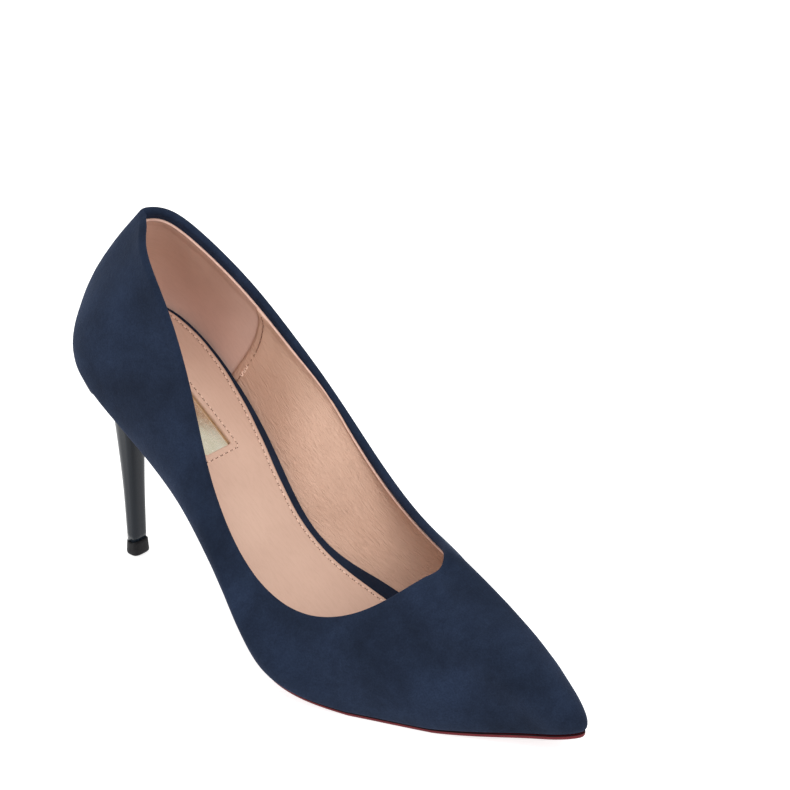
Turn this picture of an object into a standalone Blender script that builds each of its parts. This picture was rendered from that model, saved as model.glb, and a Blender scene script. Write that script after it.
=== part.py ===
"""High heel pump for a right foot, EU 39: every physical piece as its own closed body.

Frame: metres, +Z up, the toe towards +X, the outer (lateral) side of the foot on -Y.
Dimensions below are millimetres. x = 0 is the heel tip, y = 0 the line from it to the toe, until
ORIGIN_SHIFT centres the shoe.

The upper, its linings and stiffeners are layers of one surface, the wall. A rib of the wall is a
Bezier curve from the feather line (s, t = 0) up to the top line (s, t = 1); s runs round the shoe
from the back centre (0) along the lateral side to the toe (TOE) and back along the medial side.
The boards, filler, footbed and outsole follow the bottom profile: the height of the feather line
as a function of x. A height h is measured from that profile along its normal.
"""

import math

import bmesh
import bpy
import numpy as np
from mathutils import Matrix, Vector

MM = 0.001
ORIGIN_SHIFT = (-103.37, 4.52)

# Feather line, back to toe: x, lateral half width, medial half width, height.
FEATHER = (
    (-15.5, 0.0, 0.0, 100.0),
    (-12.0, 14.0, 14.0, 98.0),
    (3.0, 29.2, 23.5, 91.5),
    (28.0, 31.7, 24.0, 76.0),
    (58.0, 31.0, 16.0, 53.5),
    (88.0, 38.6, 9.0, 29.0),
    (113.0, 46.0, 21.5, 12.0),
    (137.0, 36.5, 33.0, 2.7),
    (170.0, 23.5, 29.0, 2.0),
    (200.0, 10.0, 15.0, 6.5),
    (214.5, 6.0, 7.0, 10.2),
    (223.0, 0.0, 0.0, 12.5),
)
# Top line, back to toe: x, lateral half width, medial half width, lateral height, medial height.
TOP_LINE = (
    (9.5, 0.0, 0.0, 149.8, 149.8),
    (15.5, 7.1, 6.5, 148.2, 149.7),
    (26.0, 17.1, 13.5, 141.9, 141.5),
    (44.5, 23.9, 22.5, 124.5, 122.0),
    (60.5, 28.9, 30.5, 97.1, 99.5),
    (74.0, 32.8, 37.5, 66.6, 78.0),
    (95.0, 36.1, 36.5, 42.8, 60.0),
    (119.0, 34.2, 29.0, 33.7, 51.5),
    (139.0, 25.7, 20.5, 38.3, 50.5),
    (151.5, 15.5, 11.0, 47.7, 54.9),
    (156.0, 7.4, 4.8, 51.8, 54.9),
    (157.0, 0.0, 0.0, 52.4, 52.4),
)
# Rib handles at the same rows: out and up at the feather line, out and down at the top line,
# and the width of the lasting margin folded under the insole board.
RIBS = (
    (6.2, 15.0, 14.0, 18.0, 9.0),
    (3.0, 15.0, 12.0, 18.0, 9.0),
    (5.0, 16.0, 4.5, 18.0, 9.0),
    (6.3, 16.0, 4.7, 16.0, 9.0),
    (10.0, 14.0, 3.8, 14.0, 8.0),
    (6.3, 12.0, 3.3, 12.0, 8.0),
    (6.5, 12.0, 4.4, 10.0, 9.0),
    (2.6, 13.0, 6.5, 8.0, 10.0),
    (5.4, 12.0, 8.6, 8.0, 10.0),
    (2.0, 10.0, 11.0, 8.0, 6.0),
    (4.8, 9.0, 24.5, 10.0, 3.5),
    (5.8, 9.0, 28.0, 11.0, 3.0),
)
TOE = len(FEATHER) - 1
AROUND = 2 * TOE
COLUMNS = 4 * AROUND

# Wall layers, as depth below the outer face of the upper.
SUEDE = 1.0
LAYER_GAP = 0.3
STIFFENER = 0.6
LINING = 0.8
STIFFENER_MID = SUEDE + LAYER_GAP + STIFFENER / 2
LINING_MID = SUEDE + 2 * LAYER_GAP + STIFFENER + LINING / 2
FOLD_RADIUS = STIFFENER / 2 + LAYER_GAP + SUEDE / 2
FOLD_LEG = 3.6
SEAM_S = (3.33, 3.26)
SEAM_BOW = 0.11

# Bottom layers, as heights over the profile. The tread of the outsole is flat on the floor.
OUTSOLE = (-2.1, -0.3)
MARGIN = (0.0, 1.0)
BOARD = (1.3, 2.5)
HEEL_BOARD = (2.8, 4.0)
HEAD_TOP = 3.9
FOAM_REAR = 4.3
FOAM_FRONT = 2.8
FOAM = 1.8
WRAP = 0.5
WRAP_TURN = 3.0
SOCK = 0.7
SOCK_LIFT = 1.05
PLATE = 0.4
BREAST_X = 12.0
HEEL_BOARD_END_X = 100.0
SHANK_X = (14.0, 94.0)
SHANK_WIDTH = 11.0
SOCK_END_X = 192.0
WINDOW_X = (21.4, 48.4)
WINDOW_Y = -6.5
WINDOW_WIDTH = 13.5
BOARD_END_X = 209.0
FILLER_END_X = 202.0

# Heel: a stiletto with a flat breast. Rows from the tip: fraction of the height, x of the back,
# x of the breast, half width.
TOP_PIECE_HEIGHT = 5.5
HEEL_AXIS_X = -0.7
SEAT_CENTRE_X = BREAST_X - 11.0
SEAT_INSET = 0.8
HEEL_ROWS = (
    (0.00, -3.9, 2.6, 3.6),
    (0.24, -5.0, 2.7, 3.9),
    (0.48, -7.2, 3.1, 4.6),
    (0.63, -8.9, 3.3, 5.4),
    (0.74, -10.6, 3.6, 6.5),
    (0.84, -12.4, 4.4, 8.4),
    (0.93, -13.8, 7.5, 13.0),
    (1.00, -15.0, BREAST_X, 22.0),
)


# ---------------------------------------------------------------- scene and small helpers


def clear_scene():
    for obj in list(bpy.data.objects):
        bpy.data.objects.remove(obj)


def collection_named(name):
    made = bpy.data.collections.new(name)
    bpy.context.scene.collection.children.link(made)
    return made


def material_named(name, colour, roughness, metallic=0.0):
    made = bpy.data.materials.new(name)
    made.use_nodes = True
    shader = made.node_tree.nodes["Principled BSDF"]
    shader.inputs["Base Color"].default_value = (*colour, 1.0)
    shader.inputs["Roughness"].default_value = roughness
    shader.inputs["Metallic"].default_value = metallic
    return made


def object_from_grid(name, grid, material, wrap=False, thickness=None, flip=False):
    """A sheet of quads through grid (rows, columns, 3) in mm, given a thickness by Solidify."""
    rows, columns = grid.shape[:2]
    points = grid.reshape(-1, 3) + np.array([*ORIGIN_SHIFT, 0.0])
    faces = []
    for i in range(rows - 1):
        for j in range(columns if wrap else columns - 1):
            k = (j + 1) % columns
            face = (i * columns + j, i * columns + k, (i + 1) * columns + k, (i + 1) * columns + j)
            faces.append(face[::-1] if flip else face)
    mesh = bpy.data.meshes.new(name)
    mesh.from_pydata([tuple(p * MM) for p in points], [], faces)
    work = bmesh.new()
    work.from_mesh(mesh)
    bmesh.ops.remove_doubles(work, verts=work.verts, dist=0.02 * MM)
    bmesh.ops.dissolve_degenerate(work, edges=work.edges, dist=0.005 * MM)
    work.to_mesh(mesh)
    work.free()
    obj = bpy.data.objects.new(name, mesh)
    if thickness is not None:
        solidify = obj.modifiers.new("thickness", "SOLIDIFY")
        solidify.thickness = thickness * MM
        solidify.offset = 0.0
        solidify.use_even_offset = True
        solidify.use_quality_normals = True
    if material is None:
        helpers.objects.link(obj)
        obj.hide_render = True
        obj.display_type = "WIRE"
    else:
        pieces.objects.link(obj)
        obj.data.materials.append(material)
    return obj


def turned(name, profile, place, material, steps=20):
    """A solid of revolution: profile (radius, height) in mm from the lower axis point to the upper."""
    mesh = bpy.data.meshes.new(name)
    verts = [(r * MM, 0.0, z * MM) for r, z in profile]
    edges = [(i, i + 1) for i in range(len(verts) - 1)]
    if profile[0][0] > 0.0:
        edges.append((len(verts) - 1, 0))
    mesh.from_pydata(verts, edges, [])
    obj = bpy.data.objects.new(name, mesh)
    screw = obj.modifiers.new("turn", "SCREW")
    screw.steps = steps
    screw.render_steps = steps
    screw.use_merge_vertices = True
    screw.merge_threshold = 0.00001
    screw.use_normal_flip = True
    obj.matrix_world = place
    if material is None:
        helpers.objects.link(obj)
        obj.hide_render = True
        obj.display_type = "WIRE"
    else:
        pieces.objects.link(obj)
        obj.data.materials.append(material)
    return obj


def cut(obj, cutter):
    boolean = obj.modifiers.new("cut " + cutter.name, "BOOLEAN")
    boolean.operation = "DIFFERENCE"
    boolean.solver = "EXACT"
    boolean.object = cutter


# ---------------------------------------------------------------- the wall surface


def closed_loop(rows, lateral, medial, z_lateral, z_medial):
    out = [(r[0], -r[lateral], r[z_lateral]) for r in rows]
    back = [(r[0], r[medial], r[z_medial]) for r in rows[-2:0:-1]]
    return np.array(out + back)


def spline_slopes(knots):
    count = len(knots)
    system = 4.0 * np.eye(count) + np.eye(count, k=1) + np.eye(count, k=-1)
    system[0, -1] = system[-1, 0] = 1.0
    return np.linalg.solve(system, 3.0 * (np.roll(knots, -1, 0) - np.roll(knots, 1, 0)))


def spline(knots, slopes, s):
    """The smooth closed curve through the knots, at s in knot units."""
    count = len(knots)
    cell = np.floor(s)
    u = (s - cell)[..., None]
    a = cell.astype(int) % count
    b = (a + 1) % count
    return (
        (2 * u**3 - 3 * u**2 + 1) * knots[a]
        + (u**3 - 2 * u**2 + u) * slopes[a]
        + (3 * u**2 - 2 * u**3) * knots[b]
        + (u**3 - u**2) * slopes[b]
    )


FEATHER_LOOP = closed_loop(FEATHER, 1, 2, 3, 3)
TOP_LOOP = closed_loop(TOP_LINE, 1, 2, 3, 4)
RIB_LOOP = np.array(RIBS + RIBS[-2:0:-1])
FEATHER_SLOPES = spline_slopes(FEATHER_LOOP)
TOP_SLOPES = spline_slopes(TOP_LOOP)
RIB_SLOPES = spline_slopes(RIB_LOOP)


def feather(s):
    point = spline(FEATHER_LOOP, FEATHER_SLOPES, s)
    point[..., 2] = np.maximum(point[..., 2], -OUTSOLE[0])
    return point


def outward(knots, slopes, s):
    """Unit plan normal of a loop, pointing out of the shoe."""
    step = spline(knots, slopes, s + 0.02) - spline(knots, slopes, s - 0.02)
    normal = np.stack([step[..., 1], -step[..., 0], 0.0 * step[..., 0]], axis=-1)
    return normal / np.linalg.norm(normal, axis=-1)[..., None]


def wall(s, t):
    s, t = np.broadcast_arrays(np.asarray(s, float), np.asarray(t, float))
    low = feather(s)
    top = spline(TOP_LOOP, TOP_SLOPES, s)
    handle = spline(RIB_LOOP, RIB_SLOPES, s)
    up = np.array([0.0, 0.0, 1.0])
    low_handle = low + outward(FEATHER_LOOP, FEATHER_SLOPES, s) * handle[..., 0:1] + up * handle[..., 1:2]
    top_handle = top + outward(TOP_LOOP, TOP_SLOPES, s) * handle[..., 2:3] - up * handle[..., 3:4]
    u = t[..., None]
    return (
        (1 - u) ** 3 * low
        + 3 * (1 - u) ** 2 * u * low_handle
        + 3 * (1 - u) * u**2 * top_handle
        + u**3 * top
    )


def wall_frame(s, t):
    """Unit outward normal and unit up-the-rib direction of the wall."""
    along = wall(s + 0.02, t) - wall(s - 0.02, t)
    low = np.clip(t - 0.01, 0.0, 1.0)
    high = np.clip(t + 0.01, 0.0, 1.0)
    rise = wall(s, high) - wall(s, low)
    rise /= np.linalg.norm(rise, axis=-1)[..., None]
    normal = np.cross(along, rise)
    return normal / np.linalg.norm(normal, axis=-1)[..., None], rise


def layer(s, t, depth):
    s, t = np.broadcast_arrays(np.asarray(s, float), np.asarray(t, float))
    normal, _ = wall_frame(s, t)
    return wall(s, t) - normal * np.asarray(depth)[..., None]


def t_at_arc(s, arc, from_top=False):
    """The t on each rib at a length along it, measured from the feather line or from the top."""
    t = np.linspace(0.0, 1.0, 61)
    rib = wall(s[None, :], t[:, None])
    length = np.vstack([np.zeros(len(s)), np.cumsum(np.linalg.norm(np.diff(rib, axis=0), axis=-1), axis=0)])
    arc = np.broadcast_to(arc, s.shape)
    wanted = length[-1] - arc if from_top else arc
    return np.array([np.interp(wanted[j], length[:, j], t) for j in range(len(s))])


# ---------------------------------------------------------------- the bottom profile

HALF_S = np.linspace(0.0, TOE, 400)
PROFILE_X = feather(HALF_S)[:, 0]
PROFILE_Z = feather(HALF_S)[:, 2]


def profile(x, h=0.0):
    """(x, z) of a point h over the bottom profile at x, and the profile's unit normal there."""
    z = np.interp(x, PROFILE_X, PROFILE_Z)
    slope = (np.interp(x + 1.0, PROFILE_X, PROFILE_Z) - np.interp(x - 1.0, PROFILE_X, PROFILE_Z)) / 2.0
    slope = np.clip(slope, -1.2, 0.4)
    size = np.sqrt(1.0 + slope**2)
    return x - h * slope / size, z + h / size, -slope / size, 1.0 / size


def s_at_x(x):
    return float(np.interp(x, PROFILE_X, HALF_S))


def outline(s, inset):
    """Plan points on the feather line drawn in by inset."""
    return (feather(s) - outward(FEATHER_LOOP, FEATHER_SLOPES, s) * np.asarray(inset)[..., None])[..., :2]


def inner_outline(s, h, depth):
    """Where the surface depth in from the wall's outer face stands h over the profile: plan points of
    the foot of each point on the profile."""
    t = np.linspace(0.0, 0.7, 50)
    depth = np.broadcast_to(depth, s.shape)
    rib = layer(s[None, :], t[:, None], np.broadcast_to(depth, (len(t), len(s))))
    _, ground, _, upright = profile(rib[..., 0])
    over = (rib[..., 2] - ground) * upright
    h = np.broadcast_to(h, s.shape)
    chosen = np.array([np.interp(h[j], over[:, j], t) for j in range(len(s))])
    plan = layer(s, chosen, depth)[..., :2]
    foot = plan[:, 0]
    for _ in range(4):
        foot = foot + 0.7 * (plan[:, 0] - profile(foot, h)[0])
    return np.stack([foot, plan[:, 1]], axis=-1)


def across(lateral, medial, columns, h):
    """A grid over the profile between two edges, h over it: a number, or a function of x."""
    v = np.linspace(0.0, 1.0, columns)[None, :, None]
    plan = lateral[:, None] * (1 - v) + medial[:, None] * v
    x, z, _, _ = profile(plan[..., 0], h(plan[..., 0]) if callable(h) else h)
    return np.stack([x, plan[..., 1], z], axis=-1)


def middle_y(x):
    s = np.interp(x, PROFILE_X, HALF_S)
    return (feather(s)[..., 1] + feather(AROUND - s)[..., 1]) / 2.0


def smooth(x, start, end):
    u = np.clip((x - start) / (end - start), 0.0, 1.0)
    return u * u * (3 - 2 * u)


def foam_bottom(x):
    return FOAM_REAR + (FOAM_FRONT - FOAM_REAR) * smooth(x, HEEL_BOARD_END_X + 5.0, HEEL_BOARD_END_X + 30.0)


def placed(x, y, h):
    """The matrix of a fastener whose axis is the profile's normal, its origin h over the profile."""
    px, pz, nx, nz = profile(float(x), float(h))
    turn = Vector((0.0, 0.0, 1.0)).rotation_difference(Vector((nx, 0.0, nz))).to_matrix().to_4x4()
    at = Vector((px + ORIGIN_SHIFT[0], y + ORIGIN_SHIFT[1], pz)) * MM
    return Matrix.Translation(at) @ turn


# ---------------------------------------------------------------- upper, stiffeners, linings


def make_upper():
    s = np.linspace(0.0, AROUND, COLUMNS, endpoint=False)
    width = spline(RIB_LOOP, RIB_SLOPES, s)[:, 4]
    mid = SUEDE / 2
    rows = []
    for share in (1.0, 0.55, 0.14):
        plan = outline(s, share * width)
        x, z, _, _ = profile(plan[:, 0], mid)
        rows.append(np.stack([x, plan[:, 1], z], axis=-1))
    start = t_at_arc(s, 1.1)
    for share in (0.0, 0.1, 0.22, 0.36, 0.5, 0.64, 0.78, 0.9, 1.0):
        rows.append(layer(s, start + (1.0 - start) * share, mid))
    normal, rise = wall_frame(s, np.ones_like(s))
    centre = wall(s, 1.0) - normal * (mid + FOLD_RADIUS)
    for angle in (45.0, 90.0, 135.0):
        a = math.radians(angle)
        rows.append(centre + FOLD_RADIUS * (math.cos(a) * normal + math.sin(a) * rise))
    for arc in (0.0, FOLD_LEG):
        rows.append(layer(s, t_at_arc(s, arc, from_top=True), mid + 2 * FOLD_RADIUS))
    return object_from_grid("upper", np.array(rows), SUEDE_NAVY, wrap=True, thickness=SUEDE)


def make_topline_tape():
    s = np.linspace(0.0, AROUND, COLUMNS, endpoint=False)
    rows = [layer(s, t_at_arc(s, arc, from_top=True), STIFFENER_MID) for arc in (4.0, 2.0, 0.2)]
    return object_from_grid("topline_tape", np.array(rows), TAPE_WHITE, wrap=True, thickness=0.5)


def wall_patch(name, s_from, s_to, low_arc, high_t, depth, thickness, columns, rows, material):
    """A piece of a wall layer between two s edges given as functions of t; low edge by arc length."""
    share = np.linspace(0.0, 1.0, rows) ** 1.5
    u = np.linspace(0.0, 1.0, columns)
    grid = []
    for q in share:
        s = s_from(q) * (1 - u) + s_to(q) * u
        low = t_at_arc(s, low_arc)
        t = low + (high_t(s, u) - low) * q
        grid.append(layer(s, t, depth))
    return object_from_grid(name, np.array(grid), material, thickness=thickness)


def make_lining():
    def top(s, u):
        return t_at_arc(s, FOLD_LEG + 2.3, from_top=True)

    def seam(q):
        return SEAM_S[1] + (SEAM_S[0] - SEAM_S[1]) * q + SEAM_BOW * math.sin(math.pi * q)

    wall_patch(
        "lining", lambda q: seam(q) + 0.015, lambda q: AROUND - seam(q) - 0.015,
        1.6, top, LINING_MID, LINING, 77, 11, LINING_PINK,
    )
    wall_patch(
        "heel_grip_lining", lambda q: -seam(q) + 0.015, lambda q: seam(q) - 0.015,
        1.6, top, LINING_MID, LINING, 31, 10, LINING_GRIP,
    )


def make_stiffeners():
    def counter_top(s, u):
        return 0.30 + 0.42 * np.sin(np.pi * u) ** 0.6

    def puff_top(s, u):
        return 0.12 + 0.40 * np.sin(np.pi * u) ** 0.7

    wall_patch(
        "heel_counter", lambda q: -3.1 + 0.5 * q, lambda q: 3.1 - 0.5 * q,
        1.6, counter_top, STIFFENER_MID, STIFFENER, 27, 7, COUNTER_GREY,
    )
    wall_patch(
        "toe_puff", lambda q: TOE - 3.0, lambda q: TOE + 3.0,
        3.0, puff_top, STIFFENER_MID + 0.02, STIFFENER, 27, 6, PUFF_GREY,
    )


# ---------------------------------------------------------------- boards, shank, filler, outsole


def plate_edges(curve, rows, x_from=None, x_to=None):
    """Lateral and medial plan edges of a plate at rows of equal x. curve(s) is its outline; an end
    left as None runs to the outline's own tip, where the rows are packed closer."""
    s = np.linspace(0.0, TOE, 240)
    lateral = curve(s)
    medial = curve(AROUND - s)
    u = np.linspace(0.0, 1.0, rows)
    if x_from is None and x_to is None:
        u = (1.0 - np.cos(np.pi * u)) / 2.0
    elif x_from is None:
        u = 1.0 - np.cos(np.pi * u / 2.0)
    elif x_to is None:
        u = np.sin(np.pi * u / 2.0)
    start = lateral[0, 0] if x_from is None else x_from
    end = lateral[-1, 0] if x_to is None else x_to
    x = start + (end - start) * u
    edges = []
    for side in (lateral, medial):
        edges.append(np.stack([x, np.interp(x, np.maximum.accumulate(side[:, 0]), side[:, 1])], axis=-1))
    return edges[0], edges[1]


def make_insole_board():
    edge = plate_edges(lambda s: inner_outline(s, BOARD[0] + 0.4, LINING_MID + 0.75), 37, None, BOARD_END_X)
    grid = across(*edge, 5, sum(BOARD) / 2)
    return object_from_grid("insole_board", grid, BOARD_BROWN, thickness=BOARD[1] - BOARD[0])


def make_heel_board():
    curve = lambda s: inner_outline(s, HEEL_BOARD[0] + 0.2, LINING_MID + 1.3)
    edge = plate_edges(curve, 23, None, HEEL_BOARD_END_X)
    grid = across(*edge, 7, sum(HEEL_BOARD) / 2)
    return object_from_grid("heel_board", grid, BOARD_GREY, thickness=HEEL_BOARD[1] - HEEL_BOARD[0])


def shank_grid(x_from, x_to, half_width, h, rows):
    x = np.linspace(x_from, x_to, rows)
    y = middle_y(x) * 0.6
    lateral = np.stack([x, y - half_width], axis=-1)
    medial = np.stack([x, y + half_width], axis=-1)
    return across(lateral, medial, 3, h)


def make_shank():
    mid = sum(HEEL_BOARD) / 2
    grid = shank_grid(*SHANK_X, SHANK_WIDTH / 2, mid, 17)
    shank = object_from_grid("shank", grid, STEEL, thickness=1.2)
    slot = shank_grid(SHANK_X[0] - 0.6, SHANK_X[1] + 0.6, SHANK_WIDTH / 2 + 0.4, mid, 19)
    return shank, object_from_grid("shank_slot", slot, None, thickness=3.2)


def make_filler():
    def curve(s):
        return outline(s, spline(RIB_LOOP, RIB_SLOPES, s)[:, 4] + 0.5)

    edge = plate_edges(curve, 33, None, FILLER_END_X)
    grid = across(*edge, 5, sum(MARGIN) / 2)
    return object_from_grid("bottom_filler", grid, CORK, thickness=MARGIN[1] - MARGIN[0])


def sole_inset(x):
    """How far the sole's edge lies inside the feather line: hidden at the waist, least at the toe."""
    return 2.4 - 1.5 * smooth(x, 92.0, 132.0) - 0.8 * smooth(x, 160.0, 210.0)


def make_outsole():
    edge = plate_edges(lambda s: outline(s, sole_inset(feather(s)[:, 0])), 37, BREAST_X + 1.7, None)
    grid = across(*edge, 7, sum(OUTSOLE) / 2)
    return object_from_grid("outsole", grid, SOLE_RED, thickness=OUTSOLE[1] - OUTSOLE[0])


# ---------------------------------------------------------------- footbed


def make_footbed():
    depth = LINING_MID + LINING / 2 + 0.3

    def edges(extra, lift):
        def curve(s):
            return inner_outline(s, foam_bottom(feather(s)[:, 0]) + lift, depth + extra)

        return plate_edges(curve, 41, None, SOCK_END_X)

    def over_foam(lift):
        return lambda x: foam_bottom(x) + lift

    grid = across(*edges(2.8, FOAM / 2), 7, over_foam(FOAM / 2))
    foam = object_from_grid("footbed_foam", grid, FOAM_CREAM, thickness=FOAM)

    def rail_at(lift):
        lateral, medial = edges(1.3, lift)
        return np.concatenate([lateral[::-1], medial[1:]])

    top_rail = rail_at(FOAM + 0.1)
    step = np.gradient(top_rail, axis=0)
    inward = np.stack([step[:, 1], -step[:, 0]], axis=-1) / np.linalg.norm(step, axis=-1)[:, None]
    medial_side = np.arange(len(top_rail)) >= len(top_rail) // 2
    turned_over = footbed_margin(top_rail[:, 0], medial_side) + WRAP_TURN
    over_edge = FOAM + 0.25 + WRAP / 2
    rows = []
    for lift, plan in (
        (0.1, rail_at(0.1)), (FOAM / 2, rail_at(FOAM / 2)), (FOAM + 0.1, top_rail),
        (over_edge, top_rail + 0.8 * inward), (over_edge, top_rail + turned_over[:, None] * inward),
    ):
        x, z, _, _ = profile(plan[:, 0], foam_bottom(plan[:, 0]) + lift)
        rows.append(np.stack([x, plan[:, 1], z], axis=-1))
    wrap = object_from_grid("footbed_wrap", np.array(rows), SUEDE_NAVY, thickness=WRAP, flip=True)

    def sock_curve(s):
        start = feather(s)[:, 0]
        return inner_outline(s, foam_bottom(start) + FOAM, depth + 1.0 + footbed_margin(start, s > TOE))

    edge = plate_edges(sock_curve, 41, None, SOCK_END_X)
    grid = across(*edge, 9, over_foam(FOAM + SOCK_LIFT + SOCK / 2))
    sock = object_from_grid("sock_liner", grid, LINING_PINK, thickness=SOCK)
    return foam, wrap, sock


def footbed_margin(x, medial_side):
    """How far the wrapped edge of the footbed shows outside the sock: little at the heel, most at the ball."""
    at_ball = np.where(medial_side, 3.8, 1.2) * smooth(x, 84.0, 116.0)
    return 2.0 + 1.7 * smooth(x, 20.0, 60.0) + at_ball


def window_grid(grow, h_extra, rows=7):
    """The rectangle of the window in the sock, grown by some millimetres."""
    x = np.linspace(WINDOW_X[0] - grow, WINDOW_X[1] + grow, rows)
    y = WINDOW_Y + 0.0 * x
    lateral = np.stack([x, y - WINDOW_WIDTH / 2 - grow], axis=-1)
    medial = np.stack([x, y + WINDOW_WIDTH / 2 + grow], axis=-1)
    return across(lateral, medial, 3, lambda px: foam_bottom(px) + FOAM + h_extra)


def make_name_plate(sock):
    cutter = object_from_grid("window_cutter", window_grid(0.4, SOCK_LIFT + 0.4), None, thickness=1.8)
    cut(sock, cutter)
    return object_from_grid("name_plate", window_grid(0.0, 0.3 + PLATE / 2), GOLD, thickness=PLATE)


# ---------------------------------------------------------------- heel


def d_section(back, front, half_width, angles):
    """A D: round at the back, flat with rounded corners at the breast."""
    centre = front - 0.45 * (front - back)
    cos = np.cos(angles)
    sin = np.sin(angles)
    reach = np.where(cos > 0, (front - centre) * np.abs(cos) ** 0.45, (back - centre) * np.abs(cos))
    x = centre + reach
    y = half_width * np.sign(sin) * np.abs(sin) ** np.where(cos > 0, 0.75, 1.0)
    return x, y


def end_row(z, columns):
    """A grid row drawn together to one point on the heel's axis, which closes the end of a solid."""
    return np.tile([HEEL_AXIS_X, 0.0, z], (columns, 1))


def seat_ring(angles):
    """The heel seat's edge: the feather line, drawn in a little, closed straight across the breast."""
    s = np.linspace(-s_at_x(BREAST_X), s_at_x(BREAST_X), 81)
    edge = outline(s % AROUND, np.full(s.shape, SEAT_INSET))
    polar = np.arctan2(edge[:, 1], edge[:, 0] - SEAT_CENTRE_X) % (2 * np.pi)
    order = np.argsort(polar)
    reach = np.hypot(edge[:, 0] - SEAT_CENTRE_X, edge[:, 1])[order]
    to_edge = np.interp(angles % (2 * np.pi), polar[order], reach, period=2 * np.pi)
    to_breast = (BREAST_X - SEAT_CENTRE_X) / np.maximum(np.cos(angles), 0.001)
    radius = np.minimum(to_edge, to_breast)
    return SEAT_CENTRE_X + radius * np.cos(angles), radius * np.sin(angles)


def make_heel():
    angles = np.linspace(0.0, 2 * np.pi, 32, endpoint=False)
    seat_x, seat_y = seat_ring(angles)
    _, seat_z, _, _ = profile(seat_x, -LAYER_GAP)
    table = np.array(HEEL_ROWS)
    rings = []
    low = TOP_PIECE_HEIGHT + LAYER_GAP
    for u in (0.0, 0.12, 0.3, 0.5, 0.64, 0.74, 0.82, 0.88, 0.93, 0.965, 1.0):
        back = np.interp(u, table[:, 0], table[:, 1])
        front = np.interp(u, table[:, 0], table[:, 2])
        half = np.interp(u, table[:, 0], table[:, 3])
        x, y = d_section(back, front, half, angles)
        blend = smooth(u, 0.78, 1.0) ** 1.4
        x = x * (1 - blend) + seat_x * blend
        y = y * (1 - blend) + seat_y * blend
        z = low + u * (seat_z - low)
        rings.append(np.stack([x, y, z], axis=-1))
    for share in (0.66, 0.33, 0.0):
        x = SEAT_CENTRE_X + (seat_x - SEAT_CENTRE_X) * share
        y = seat_y * share
        _, z, _, _ = profile(x, -LAYER_GAP)
        rings.append(np.stack([x, y, z], axis=-1))
    rings.insert(0, end_row(low, len(angles)))
    return object_from_grid("heel", np.array(rings), HEEL_GLOSS, wrap=True)


def make_top_piece():
    angles = np.linspace(0.0, 2 * np.pi, 28, endpoint=False)
    rings = [end_row(0.0, len(angles))]
    for z, grow, lip in (
        (0.0, -0.3, 0.0), (0.4, 0.3, 0.3), (TOP_PIECE_HEIGHT - 0.6, 0.1, 0.2), (TOP_PIECE_HEIGHT, -0.2, 0.0),
    ):
        x, y = d_section(-4.0 - grow, 2.8 + grow + lip, 3.9 + grow, angles)
        rings.append(np.stack([x, y, np.full(angles.shape, z)], axis=-1))
    rings.append(end_row(TOP_PIECE_HEIGHT, len(angles)))
    return object_from_grid("top_piece", np.array(rings), RUBBER_BLACK, wrap=True)


# ---------------------------------------------------------------- fasteners

NAILS = ((-2.0, -6.5), (-2.0, 6.5), (7.5, -7.5), (7.5, 7.5))
RIVETS = (40.0, 84.0)
SCREW_X = 1.0


def make_fasteners(plates, heel, filler, board, shank):
    for i, (x, y) in enumerate(NAILS):
        place = placed(x, y, 0.0)
        neck = HEAD_TOP - 0.4
        shape = ((0, -9.0), (0.9, -7.0), (0.9, neck), (1.8, neck), (1.8, HEAD_TOP), (0, HEAD_TOP))
        turned(f"heel_nail_{i + 1}", shape, place, STEEL, 12)
        seat = neck - 0.3
        room = ((0, -9.6), (1.2, -9.0), (1.2, seat), (2.1, seat), (2.1, 6.0), (0, 6.0))
        cutter = turned(f"nail_room_{i + 1}", room, place, None, 12)
        for piece in plates:
            cut(piece, cutter)
        cut(heel, cutter)
    place = placed(SCREW_X, 0.0, 0.0)
    shape = ((0, -16.0), (1.6, -12.0), (1.6, HEAD_TOP - 1.3), (3.4, HEAD_TOP), (0, HEAD_TOP))
    turned("heel_screw", shape, place, STEEL, 16)
    room = ((0, -16.8), (1.9, -12.2), (1.9, HEAD_TOP - 1.5), (3.9, HEAD_TOP + 0.2), (3.9, 6.0), (0, 6.0))
    cutter = turned("screw_room", room, place, None, 16)
    for piece in plates:
        cut(piece, cutter)
    cut(heel, cutter)
    for name, x in zip(("shank_rivet_rear", "shank_rivet_front"), RIVETS):
        place = placed(x, float(middle_y(x)) * 0.6, 0.0)
        shape = ((0, 0.15), (2.8, 0.15), (2.8, 0.9), (1.4, 0.9), (1.4, HEAD_TOP), (0, HEAD_TOP))
        turned(name, shape, place, STEEL, 14)
        head = turned(name + "_head_room", ((0, -1.0), (3.2, -1.0), (3.2, 1.2), (0, 1.2)), place, None, 14)
        body = turned(name + "_room", ((0, 0.5), (1.7, 0.5), (1.7, 6.0), (0, 6.0)), place, None, 14)
        cut(filler, head)
        cut(board, body)
        cut(shank, body)


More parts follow.
